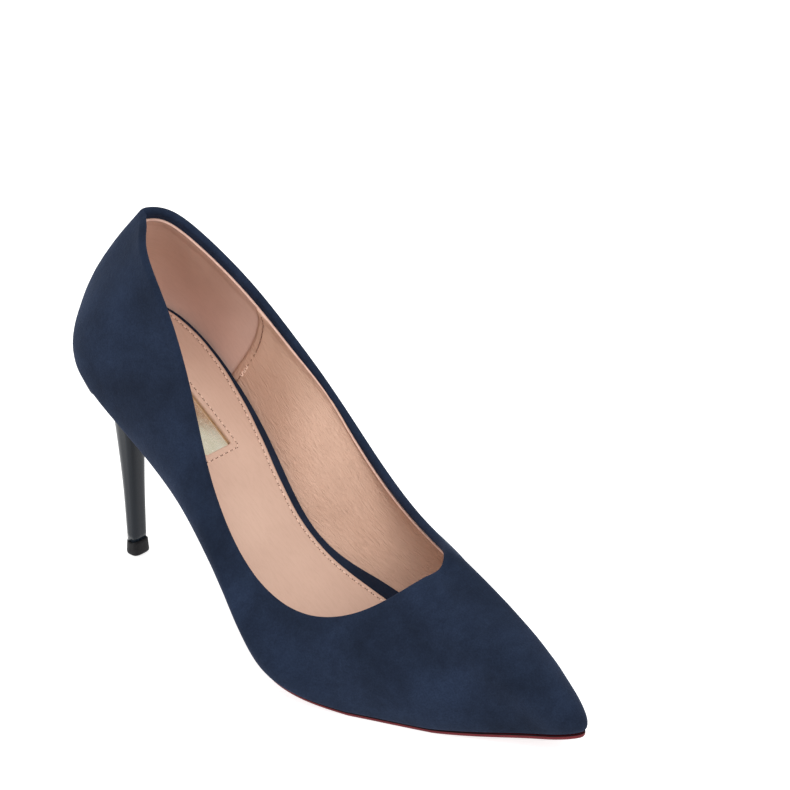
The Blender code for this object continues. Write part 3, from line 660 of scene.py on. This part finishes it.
def lining_patch(name, s_from, s_to, columns, extra, material, slot, replaced, wrinkles):
    """A lining between two seams, with soft dents and wrinkles, and the flow coordinates of its grain."""
    u = np.linspace(0.0, 1.0, columns)
    grid, uv = [], []
    for q in 1.0 - (1.0 - np.linspace(0.0, 1.0, LINING_ROWS)) ** 1.35:
        s = s_from(q) * (1 - u) + s_to(q) * u
        t, rib = up_lining(s, q)
        point = layer(s, t, lining_depth(rib + LINING_TOP, extra(s, q)))
        normal, _ = wall_frame(s, t)
        lift = relief(point, 15.0, 0.35, 21.0) + relief(point, 5.0, wrinkles, 4.0)
        point = point + normal * (lift * smooth(rib, 0.0, 4.0))[:, None]
        grid.append(point)
        along = arc_length(point)
        uv.append(np.stack([along - along[-1] / 2.0, -rib], axis=-1))
    uv = np.array(uv).reshape(-1, 2)
    sheet_piece(name, np.array(grid), material, slot, replaced, LINING, uv=uv)


def make_linings():
    """The lining of the forepart laps over the heel grip at both seams."""

    def lining_start(q):
        return seam(q) - SEAM_LAP

    def lining_end(q):
        return AROUND - seam(q) + SEAM_LAP

    def raised(s, q):
        gap = np.minimum(s - lining_start(q), lining_end(q) - s)
        return SEAM_RAISE * (1.0 - smooth(gap, 0.12, 0.30))

    def sunk(s, q):
        return 0.0 * s - 0.1

    lining_patch("lining_skin", lining_start, lining_end, 360, raised, NUDE, "lining", ["lining"], 0.10)
    lining_patch(
        "heel_grip_skin", lambda q: -seam(q) - 0.05, lambda q: seam(q) + 0.05, 150,
        sunk, GRIP, "heel_grip", ["heel_grip_lining"], 0.03,
    )


def make_lining_rim():
    """The turned edge of the lining: a bead along its top."""
    s = np.linspace(0.0, AROUND, 720, endpoint=False)
    t = t_at_arc(s, LINING_TOP + 0.1, from_top=True)
    normal, rise = wall_frame(s, t)
    depth = lining_depth(np.full(s.shape, LINING_TOP)) + 0.08
    path = wall(s, t) - normal * depth[:, None]
    path = path + rise * relief(path, 2.2, 0.07, 2.0)[:, None]
    angles = np.linspace(0.0, 2 * np.pi, 10, endpoint=False)[None, :, None]
    grid = path[:, None] + np.cos(angles) * 0.42 * rise[:, None] + np.sin(angles) * 0.52 * normal[:, None]
    closed = np.concatenate([grid, grid[:1]])
    grid_piece("lining_rim", closed, True, [RIM], "lining", weld=0.001)


# A stitch from end to end: place along it, thickness and lift, as shares of its half length and radius.
STITCH_RINGS = (
    (-1.0, 0.12, -0.9), (-0.8, 0.62, -0.35), (-0.4, 0.95, 0.25), (0.0, 1.0, 0.4),
    (0.4, 0.95, 0.25), (0.8, 0.62, -0.35), (1.0, 0.12, -0.9),
)
STITCH_SIDES = 8
HOLE_HALF_LENGTH = 0.27
HOLE_HALF_WIDTH = 0.23
HOLE_DEPTH = 0.3


def at_length(step, array, d):
    """A row of an array of points, read at a length along its path."""
    return np.array([np.interp(d, step, array[:, k]) for k in range(array.shape[1])])


def stitches(name, path, up, pitch, length, radius, holes=True, thread=THREAD):
    """A row of thread stitches along a path on a surface, each with its two needle holes drawn as dark plugs
    of painted shade.
    """
    step = arc_length(path)
    count = int(step[-1] // pitch)
    angles = np.linspace(0.0, 2 * np.pi, STITCH_SIDES, endpoint=False)
    points, faces, indices = [], [], []

    def strip(base, index):
        """Quads between a ring of points and the next. The index is 0 for thread and 1 for the painted shade
        of a hole.
        """
        for j in range(STITCH_SIDES):
            k = (j + 1) % STITCH_SIDES
            faces.append((base + j, base + k, base + STITCH_SIDES + k, base + STITCH_SIDES + j))
            indices.append(index)

    def cap(base, index, turn):
        faces.append(tuple(range(base, base + STITCH_SIDES))[::turn])
        indices.append(index)

    for middle in (np.arange(count) + 0.5) * step[-1] / count:
        here = at_length(step, path, middle)
        ahead = at_length(step, path, min(middle + 0.5, step[-1]))
        along = ahead - at_length(step, path, max(middle - 0.5, 0.0))
        along /= np.linalg.norm(along)
        over = at_length(step, up, middle)
        over -= along * over.dot(along)
        over /= np.linalg.norm(over)
        side = np.cross(over, along)
        base = len(points)
        for place, thick, lift in STITCH_RINGS:
            for a in angles:
                round_it = side * math.cos(a) * thick + over * (math.sin(a) * thick * 0.85 + lift)
                points.append(here + along * (place * length / 2) + round_it * radius)
        for i in range(len(STITCH_RINGS) - 1):
            strip(base + i * STITCH_SIDES, 0)
        cap(base, 0, -1)
        cap(base + (len(STITCH_RINGS) - 1) * STITCH_SIDES, 0, 1)
        if not holes:
            continue
        # Each needle hole is a shallow dark plug on the surface, painted shade.
        for end in (-1, 1):
            centre = here + along * (end * (length / 2 + 0.12)) + over * 0.04
            base = len(points)
            for depth in (HOLE_DEPTH, 0.0):
                for a in angles:
                    spot = along * math.cos(a) * HOLE_HALF_LENGTH + side * math.sin(a) * HOLE_HALF_WIDTH
                    points.append(centre + spot - over * depth)
            strip(base, 1)
            cap(base, 1, -1)
            cap(base + STITCH_SIDES, 1, 1)
    in_scene(name, points, faces, [thread, HOLE_SHADE], "lining", indices=indices)


def make_side_seams():
    """Stitches up each seam of the lining and a bar tack across its foot."""
    q = np.linspace(0.02, 0.97, 60)
    lateral = seam(q) - 0.035
    for side_name, s in (("lateral", lateral), ("medial", AROUND - lateral)):
        t, rib = up_lining(s, q)
        normal, _ = wall_frame(s, t)
        depth = lining_depth(rib + LINING_TOP, SEAM_RAISE) + LINING / 2 + 0.02
        path = wall(s, t) - normal * depth[:, None]
        stitches(f"side_seam_thread_{side_name}", path, -normal, 2.8, 1.9, 0.29, thread=SEAM_THREAD)
        foot = (rib > rib.max() - 14.0) & (rib < rib.max() - 6.5)
        tack = path[foot]
        across = np.cross(normal[foot], np.gradient(tack, axis=0))
        across /= np.linalg.norm(across, axis=-1)[:, None]
        share = np.linspace(0.0, 1.0, len(tack))
        zigzag = []
        for i, f in enumerate(np.linspace(0.0, 1.0, 7)):
            swing = 1.1 if i % 2 else -1.1
            zigzag.append(at_length(share, tack, f) + at_length(share, across, f) * swing)
        zigzag = np.array(zigzag)
        up = np.broadcast_to(-normal[foot].mean(axis=0), zigzag.shape)
        stitches(f"bar_tack_{side_name}", zigzag, up, 2.35, 2.2, 0.33, holes=False)


# ---------------------------------------------------------------- pieces drawn as spokes from their edge


def rail_of(lateral, medial):
    """The edge from the front of the lateral side round the back to the front of the medial side,
    and its outward plan normals."""
    rail = np.concatenate([lateral[::-1], medial[1:]])
    return rail, left_normals(rail)


def spoke_grid(rail, normal, target, stations, base):
    """Rows of points along the spokes from an edge to their targets in the middle of the piece.

    A station is (millimetres in from the edge, share of the way from there to the target, height), and
    base gives the origin of the heights at x.
    """
    rows = []
    for inset, share, height in stations:
        start = rail - normal * np.reshape(inset, (-1, 1))
        plan = start + (target - start) * share
        rows.append(on_profile(plan, base(plan[:, 0]) + height))
    return np.array(rows)


def footbed_rail(extra, lift):
    """The edge of the footbed inside the lining, extra millimetres further in, at a height in the foam."""

    def curve(s):
        return inner_outline(s, foam_bottom(feather(s)[:, 0]) + lift, FOOTBED_DEPTH + extra)

    return rail_of(*plate_edges(curve, 150, None, SOCK_END_X))


def sock_margin(rail):
    """How much of the suede-covered footbed shows outside the sock, most in front on the medial side."""
    x = rail[:, 0]
    medial_side = np.arange(len(rail)) >= len(rail) // 2
    return 2.0 + 1.7 * smooth(x, 20.0, 60.0) + np.where(medial_side, 3.8, 1.2) * smooth(x, 84.0, 116.0)


def make_footbed_wrap():
    """The suede that wraps the edge of the footbed and shows as a margin round the sock."""
    rail, normal = footbed_rail(0.0, WRAP_TOP)
    width = sock_margin(rail)
    stations = [
        (0.0, 0.0, -2.0), (-0.1, 0.0, 0.0), (0.05, 0.0, 1.1), (0.3, 0.0, WRAP_TOP),
        (0.8, 0.0, WRAP_TOP + 0.28), (0.5 * width + 0.6, 0.0, WRAP_TOP + 0.32),
        (width + 0.4, 0.0, WRAP_TOP + 0.3), (width + 3.0, 0.0, WRAP_TOP + 0.25),
    ]
    grid = spoke_grid(rail, normal, rail, stations, foam_bottom)
    sheet_piece("footbed_wrap_suede", grid, NAVY_EDGE, "suede", ["footbed_wrap"], 0.5)


def sock_rail():
    """The sock's edge, cut by hand and so a little wavy, and its outward plan normals."""
    rail, normal = footbed_rail(0.0, WRAP_TOP)
    wave = 0.12 * np.sin(rail[:, 0] / 3.1) * np.sin(rail[:, 0] / 7.7)
    edge = rail - normal * (sock_margin(rail) + wave)[:, None]
    return edge, left_normals(edge)


def sock_height(inset):
    """Height of the sock's face over its flat at a distance in from its edge."""
    edge = -0.45 * (1.0 - smooth(inset, 0.0, 0.9)) ** 2
    dip = -STITCH_DIP * np.exp(-(((inset - STITCH_INSET) / 0.55) ** 2))
    crown = 0.45 * smooth(inset, STITCH_INSET, 16.0)
    return edge + dip + crown


def distance_to(points, path):
    """Plan distance of each point from a polyline."""
    a, b = path[:-1], path[1:]
    along = b - a
    share = ((points[:, None] - a) * along).sum(-1) / ((along**2).sum(-1) + 1e-9)
    nearest = a + np.clip(share, 0.0, 1.0)[..., None] * along
    return np.linalg.norm(points[:, None] - nearest, axis=-1).min(axis=1)


def sock_face(plan, edge, window):
    """Height of the sock's face: crowned, dipping at both rows of stitches and rounded at its edges."""
    inset = distance_to(plan, edge)
    off_window = distance_to(plan, window)
    dip = -0.5 * STITCH_DIP * np.exp(-(((off_window - 2.0) / 0.6) ** 2))
    rim = -0.25 * (1.0 - smooth(off_window, 0.0, 0.7)) ** 2
    ripple = relief(np.column_stack([plan, np.zeros(len(plan))]), 17.0, 0.18, 31.0) * smooth(inset, 3.0, 9.0)
    return SOCK_TOP + sock_height(inset) + dip + rim + ripple


SOCK_INSETS = (0.0, 0.15, 0.35, 0.6, 0.9, 1.3, 1.6, STITCH_INSET, 2.2, 2.5, 3.0, 3.6)
WINDOW_GROWS = (0.3, 0.7, 1.2, 1.6, 2.0, 2.4, 2.9)
FIELD_STEP = 1.6


def make_sock():
    """The sock: a sheet with a window, meshed in plan with rings along both edges, and its stitches."""
    rail, normal = sock_rail()
    rings = [rail - normal * inset for inset in SOCK_INSETS]
    window = finer(window_loop(0.0, WINDOW_CORNER), 0.8)
    around = [finer(window_loop(grow, WINDOW_CORNER + 0.5 * grow), 0.8) for grow in WINDOW_GROWS]
    closed_window = np.vstack([window, window[:1]])
    closed_rail = np.vstack([rail, rail[:1]])
    gx, gy = np.meshgrid(np.arange(-20.0, SOCK_END_X, FIELD_STEP), np.arange(-46.0, 46.0, FIELD_STEP))
    field = np.column_stack([gx.ravel() + FIELD_STEP / 4 * (np.arange(gx.size) % 2), gy.ravel()])
    inside = inside_of(field, closed_rail) & (distance_to(field, closed_rail) > 4.2)
    inside &= ~inside_of(field, closed_window) & (distance_to(field, closed_window) > 3.4)
    plan = np.vstack([*rings, window, *around, field[inside]])
    first_window = len(rail) * len(rings)
    borders = [(i, (i + 1) % len(rail)) for i in range(len(rail))]
    borders += [(first_window + i, first_window + (i + 1) % len(window)) for i in range(len(window))]
    verts, _, triangles, *_ = delaunay_2d_cdt([Vector(p) for p in plan], borders, [], 1, 1e-5)
    plan = np.array([tuple(v) for v in verts])
    middles = np.array([plan[list(f)].mean(axis=0) for f in triangles])
    keep = inside_of(middles, closed_rail) & ~inside_of(middles, closed_window)
    faces = [tuple(f) for f, k in zip(triangles, keep) if k]
    height = sock_face(plan, rail, closed_window)
    height = np.minimum(height, SOCK_TOP + sock_height(np.full(len(plan), 20.0)) + 0.3)
    count = len(plan)
    edges = [pair for f in faces for pair in zip(f, f[1:] + f[:1])]
    directed = set(edges)
    walls = [(b, a, a + count, b + count) for a, b in edges if (b, a) not in directed]
    under = [tuple(i + count for i in f[::-1]) for f in faces]
    points = np.vstack([over_foam(plan, height), over_foam(plan, SOCK_TOP - SOCK - 0.2)])
    in_scene(
        "sock_skin", points, faces + walls + under, [SOCK_NUDE], "lining", ["sock_liner"],
        uv=np.vstack([plan, plan]), weld=0.001,
    )
    path = over_foam(rings[SOCK_INSETS.index(STITCH_INSET)], SOCK_TOP + sock_height(STITCH_INSET) + 0.06)
    stitches("sock_edge_thread", path[6:-6], profile_normals(path)[6:-6], 2.9, 1.75, 0.24)
    border = finer(window_loop(2.0, 1.6), 0.7)
    border = np.vstack([border, border[:1]])
    path = over_foam(border, sock_face(border, rail, closed_window) + 0.06)
    stitches("window_thread", path, profile_normals(path), 2.6, 1.6, 0.22)


def profile_normals(path):
    """The bottom profile's unit normals at points over it."""
    _, _, nx, nz = profile(path[:, 0])
    return np.stack([nx, 0.0 * nx, nz], axis=-1)


def inside_of(points, polygon):
    """Which plan points lie inside a closed polygon."""
    x, y = points[:, 0:1], points[:, 1:2]
    ax, ay = polygon[:-1, 0], polygon[:-1, 1]
    bx, by = polygon[1:, 0], polygon[1:, 1]
    crossing = ((ay > y) != (by > y)) & (x < (bx - ax) * (y - ay) / (by - ay + 1e-12) + ax)
    return crossing.sum(axis=1) % 2 == 1


def window_loop(grow, corner):
    """The window's rounded rectangle, grown by some millimetres, as plan points."""
    x0, x1 = WINDOW_X[0] - grow, WINDOW_X[1] + grow
    y0, y1 = WINDOW_Y - WINDOW_WIDTH / 2 - grow, WINDOW_Y + WINDOW_WIDTH / 2 + grow
    loop = []
    for cx, cy, start in ((x1, y1, 0), (x0, y1, 90), (x0, y0, 180), (x1, y0, 270)):
        sx = cx - corner if start in (0, 270) else cx + corner
        sy = cy - corner if start in (0, 90) else cy + corner
        for a in np.radians(np.linspace(start, start + 90, 9)):
            loop.append((sx + corner * math.cos(a), sy + corner * math.sin(a)))
    return np.array(loop)


def finer(loop, step):
    """The closed loop resampled at an even step."""
    closed = np.vstack([loop, loop[:1]])
    length = arc_length(closed)
    at = np.linspace(0.0, length[-1], int(length[-1] / step), endpoint=False)
    return np.stack([np.interp(at, length, closed[:, k]) for k in range(2)], axis=-1)


def make_plate():
    """The thin gold plate in the window, each of its faces drawn together at its middle."""
    low = finer(window_loop(0.25, WINDOW_CORNER), 0.9)
    centre = low.mean(axis=0)
    bottom, top = FOAM + 0.05, FOAM + 0.35
    rings = [(0.0001, bottom), (0.5, bottom), (1.0, bottom), (0.985, top)]
    rings += [(0.985 * 0.97, top), (0.985 * 0.5, top), (0.985 * 0.0001, top)]
    grid = np.array([over_foam(centre + (low - centre) * share, height) for share, height in rings])
    grid_piece("gold_plate", grid, True, [GOLD], "gold", ["name_plate"], weld=0.005)


def make_foam():
    """The soft pad under the sock, rounded at its edge."""
    rail, normal = footbed_rail(1.2, FOAM / 2)
    middle_x = np.maximum(rail[:, 0], rail[:, 0].min() + 16.0)
    middle = np.stack([middle_x, middle_y(middle_x) * 0.6], axis=-1)
    stations = [
        (3.0, 1.0, 0.1), (3.0, 0.5, 0.1), (3.0, 0.0, 0.05), (0.9, 0.0, 0.05), (0.3, 0.0, 0.4),
        (0.0, 0.0, 1.2), (0.25, 0.0, 2.1), (0.9, 0.0, FOAM - 0.1), (3.0, 0.0, FOAM - 0.05),
        (3.0, 0.5, FOAM), (3.0, 1.0, FOAM),
    ]
    grid = spoke_grid(rail, normal, middle, stations, foam_bottom)
    cream = plain_material("cream_foam", (0.66, 0.60, 0.44), (0.80, 0.75, 0.60), 900.0, 0.9, 0.2)
    foam = grid_piece("footbed_pad", grid, False, [cream], "foam", ["footbed_foam"], weld=0.02)


# ---------------------------------------------------------------- sole, heel and top piece


def sole_inset(x):
    """How far the sole's edge lies inside the feather line, most at the waist."""
    return 2.4 - 1.5 * smooth(x, 92.0, 132.0) - 0.8 * smooth(x, 160.0, 210.0)


def make_outsole():
    """The thin sole from the breast of the heel to the toe, with a dark band of painted shade round the top
    of its edge, in the gap under the upper.
    """

    def curve(s):
        return outline(s, sole_inset(feather(s)[:, 0]))

    lateral, medial = plate_edges(curve, 170, BREAST_X + 0.5, None)
    rail = np.concatenate([lateral, medial[-2::-1]])
    middle_x = np.minimum(rail[:, 0], rail[:, 0].max() - 3.0)
    middle = np.stack([middle_x, middle_y(rail[:, 0])], axis=-1)
    top, low = OUTSOLE_TOP, OUTSOLE_BOTTOM
    stations = [
        (1.6, 1.0, top), (1.6, 0.5, top), (1.6, 0.0, top), (0.5, 0.0, top), (0.1, 0.0, top - 0.08),
        (0.0, 0.0, top - 0.25), (0.03, 0.0, top - 0.6), (0.12, 0.0, top - 1.0), (0.35, 0.0, low + 0.45),
        (0.7, 0.0, low + 0.15), (1.2, 0.0, low), (1.6, 0.0, low), (1.6, 0.35, low), (1.6, 0.7, low),
        (1.6, 1.0, low),
    ]
    # Rows at the top corner of the edge get the painted shade of the gap under the upper.
    shade_rows = (3, 4)
    grid = spoke_grid(rail, -left_normals(rail), middle, stations, lambda x: 0.0 * x)
    indices = [int(i in shade_rows) for i in range(len(stations) - 1) for _ in range(len(rail) - 1)]
    grid_piece(
        "outsole_red", grid, False, [SOLE_RED, SOLE_GAP_SHADE], "sole", ["outsole"], indices=indices, weld=0.01
    )


def d_section(back, front, half_width, angles):
    """A D: round towards the back, and nearly flat with soft corners across the front."""
    centre = front - 0.45 * (front - back)
    cos, sin = np.cos(angles), np.sin(angles)
    in_front = centre + (front - centre) * np.abs(cos) ** 0.45
    behind = centre - (centre - back) * np.abs(cos)
    y = half_width * np.sign(sin) * np.abs(sin) ** np.where(cos > 0, 0.75, 1.0)
    return np.where(cos > 0, in_front, behind), y


def seat_ring(angles):
    """The heel seat's edge: the feather line, drawn in a little, closed straight across the breast."""
    s = np.linspace(-s_at_x(BREAST_X), s_at_x(BREAST_X), 241)
    edge = outline(s % AROUND, np.full(s.shape, SEAT_INSET))
    polar = np.arctan2(edge[:, 1], edge[:, 0] - SEAT_CENTRE_X) % (2 * np.pi)
    order = np.argsort(polar)
    reach = np.hypot(edge[:, 0] - SEAT_CENTRE_X, edge[:, 1])[order]
    to_edge = np.interp(angles % (2 * np.pi), polar[order], reach, period=2 * np.pi)
    to_breast = (BREAST_X - SEAT_CENTRE_X) / np.maximum(np.cos(angles), 0.001)
    radius = np.minimum(to_edge, to_breast)
    return SEAT_CENTRE_X + radius * np.cos(angles), radius * np.sin(angles)


def d_angles(count):
    """Angles packed where a D has its corners."""
    a = np.linspace(0.0, 2 * np.pi, count, endpoint=False)
    return a - 0.15 * np.sin(2 * a)


def between_rows(u, table, column):
    """Smooth interpolation through a table's rows without overshoot."""
    x, y = table[:, 0], table[:, column]
    secant = np.diff(y) / np.diff(x)
    product = secant[1:] * secant[:-1]
    slope = np.concatenate([secant[:1], np.zeros(len(x) - 2), secant[-1:]])
    slope[1:-1] = np.where(product > 0, 2 * product / (secant[1:] + secant[:-1] + 1e-12), 0)
    i = int(np.clip(np.searchsorted(x, u) - 1, 0, len(x) - 2))
    gap = x[i + 1] - x[i]
    return hermite((u - x[i]) / gap, y[i], gap * slope[i], y[i + 1], gap * slope[i + 1])


def end_ring(z, count):
    """A ring drawn together to one point on the heel's axis, which closes an end."""
    return np.tile([HEEL_AXIS_X, 0.0, z], (count, 1))


def make_heel():
    """The heel from its tip to the seat, whose section grows into the outline of the shoe's back."""
    angles = d_angles(112)
    seat_x, seat_y = seat_ring(angles)
    _, seat_z, _, _ = profile(seat_x, -SEAT_GAP)
    table = np.array(HEEL_ROWS)
    low = TOP_PIECE_HEIGHT + SEAT_GAP
    rings = [end_ring(low, len(angles))]
    for u in np.concatenate([np.linspace(0.0, 0.7, 20), np.linspace(0.7, 1.0, 40)[1:]]):
        back, front, half_width = (between_rows(u, table, column) for column in (1, 2, 3))
        x, y = d_section(back, front, half_width, angles)
        blend = smooth(u, 0.78, 1.0) ** 1.4
        x = x * (1 - blend) + seat_x * blend
        y = y * (1 - blend) + seat_y * blend
        rings.append(np.stack([x, y, low + u * (seat_z - low)], axis=-1))
    for share in (0.9, 0.6, 0.3, 0.0):
        x = SEAT_CENTRE_X + (seat_x - SEAT_CENTRE_X) * share
        _, z, _, _ = profile(x, -SEAT_GAP)
        rings.append(np.stack([x, seat_y * share, z], axis=-1))
    grid_piece("heel_gloss", np.array(rings), True, [HEEL_GLOSS], "heel_gloss", ["heel"], weld=0.005)


# Top piece, floor up: height, growth of its section, lip in front, and how far the front rises.
TOP_PIECE_ROWS = (
    (0.0, -0.6, 0.0, 0.0), (0.08, -0.1, 0.1, 0.0), (0.4, 0.28, 0.3, 0.0), (1.0, 0.34, 0.35, 0.0),
    (3.0, 0.22, 0.3, 0.0), (4.6, 0.12, 0.3, 0.5), (5.2, 0.04, 0.25, 0.8), (TOP_PIECE_HEIGHT, -0.2, 0.1, 0.9),
    (TOP_PIECE_HEIGHT, -0.5, -0.2, 0.0),
)


def make_top_piece():
    """The rubber end of the heel, its front lip climbing a little up the breast."""
    angles = d_angles(96)
    rings = [end_ring(0.0, len(angles))]
    for z, grow, lip, front_up in TOP_PIECE_ROWS:
        x, y = d_section(-4.0 - grow, 2.8 + grow + lip, 3.9 + grow, angles)
        rings.append(np.stack([x, y, z + front_up * smooth(x, 0.5, 2.6)], axis=-1))
    rings.append(end_ring(TOP_PIECE_HEIGHT, len(angles)))
    grid_piece("top_piece_rubber", np.array(rings), True, [RUBBER], "top_rubber", ["top_piece"], weld=0.005)


# ---------------------------------------------------------------- hidden pieces keep their CAD shape

STEEL = plain_material(
    "plain_steel", (0.42, 0.42, 0.44), (0.56, 0.56, 0.58), 700.0, 0.36, 0.02, Metallic=1.0
)
TAPE = plain_material("white_tape", (0.70, 0.70, 0.67), (0.84, 0.84, 0.81), 1600.0, 0.85, 0.1)
STIFFENER = plain_material("stiffener_sheet", (0.50, 0.47, 0.40), (0.60, 0.57, 0.50), 500.0, 0.8, 0.06)
BOARD = plain_material("fibre_board", (0.30, 0.20, 0.12), (0.42, 0.30, 0.20), 400.0, 0.85, 0.08)
FELT = plain_material("felt_filler", (0.34, 0.22, 0.12), (0.50, 0.34, 0.20), 600.0, 0.95, 0.15)
INNER = (
    (TAPE, ("topline_tape",)),
    (STIFFENER, ("toe_puff", "heel_counter")),
    (BOARD, ("insole_board", "heel_board")),
    (FELT, ("bottom_filler",)),
    (STEEL, ("shank", "shank_rivet_rear", "shank_rivet_front", "heel_dowel", "heel_screw", "top_piece_pin")),
    (STEEL, ("heel_nail_1", "heel_nail_2", "heel_nail_3", "heel_nail_4")),
)


def paint_inner():
    """Materials for the carried-over CAD nodes."""
    for material, names in INNER:
        for name in names:
            slots = nodes[name].data.materials
            slots.clear()
            slots.append(material)


# ---------------------------------------------------------------- camera, floor and light

CAMERA_PLACE = (0.68524, -0.73943, 0.62909)
CAMERA_TARGET = (-0.1155, 0.17163, 0.0)
CAMERA_LENS = 144.46
FLOOR_HALF = 6.0
FLOOR_DROP = 0.0002
WORLD_STRENGTH = 0.62
WHITE = (1.0, 1.0, 1.0, 1.0)

# Softboxes: name, place and target in metres, width and height in metres, watts.
SOFTBOXES = (
    ("overhead", (-0.4, 0.0, 1.9), (0.0, 0.0, 0.0), 2.2, 2.2, 26.0),
    ("key", (1.3, -0.6, 1.05), (0.0, 0.0, 0.06), 0.9, 1.2, 12.0),
    ("fill", (-0.9, -1.3, 0.8), (0.0, 0.0, 0.06), 0.7, 1.2, 2.6),
)


def placed(name, data, place, target=None):
    """An object in the scene, aimed at a target if it has one."""
    obj = bpy.data.objects.new(name, data)
    bpy.context.scene.collection.objects.link(obj)
    obj.location = place
    if target:
        obj.rotation_mode = "QUATERNION"
        obj.rotation_quaternion = (Vector(target) - obj.location).to_track_quat("-Z", "Y")
    return obj


def make_stage():
    """Camera, pale floor, white surroundings and three soft lights."""
    lens = bpy.data.cameras.new("camera")
    lens.lens = CAMERA_LENS
    lens.sensor_width = 36.0
    lens.clip_start = 0.05
    lens.clip_end = 30.0
    bpy.context.scene.camera = placed("camera", lens, CAMERA_PLACE, CAMERA_TARGET)

    half = FLOOR_HALF
    floor_mesh = bpy.data.meshes.new("floor")
    corners = [(-half, -half, 0), (half, -half, 0), (half, half, 0), (-half, half, 0)]
    floor_mesh.from_pydata(corners, [], [(0, 1, 2, 3)])
    paper = Shader("pale_floor", Roughness=0.9, Specular_IOR_Level=0.1)
    paper.colour(paper.ramp(paper.noise(4.0), (0.55, 0.55, 0.55), (0.57, 0.57, 0.57)))
    paper.base.inputs["Emission Color"].default_value = WHITE
    paper.base.inputs["Emission Strength"].default_value = 0.8
    floor_mesh.materials.append(paper.material)
    placed("floor", floor_mesh, (0.0, 0.0, -FLOOR_DROP))

    world = bpy.data.worlds.new("studio")
    world.use_nodes = True
    background = world.node_tree.nodes["Background"]
    background.inputs["Color"].default_value = WHITE
    background.inputs["Strength"].default_value = WORLD_STRENGTH
    bpy.context.scene.world = world

    for name, place, target, width, height, power in SOFTBOXES:
        light = bpy.data.lights.new(name, "AREA")
        light.shape = "RECTANGLE"
        light.size = width
        light.size_y = height
        light.energy = power
        placed(name, light, place, target)
    bpy.context.scene.view_settings.view_transform = "Standard"


make_stage()
make_upper()
make_linings()
make_lining_rim()
make_side_seams()
make_footbed_wrap()
make_foam()
make_sock()
make_plate()
make_outsole()
make_heel()
make_top_piece()
paint_inner()
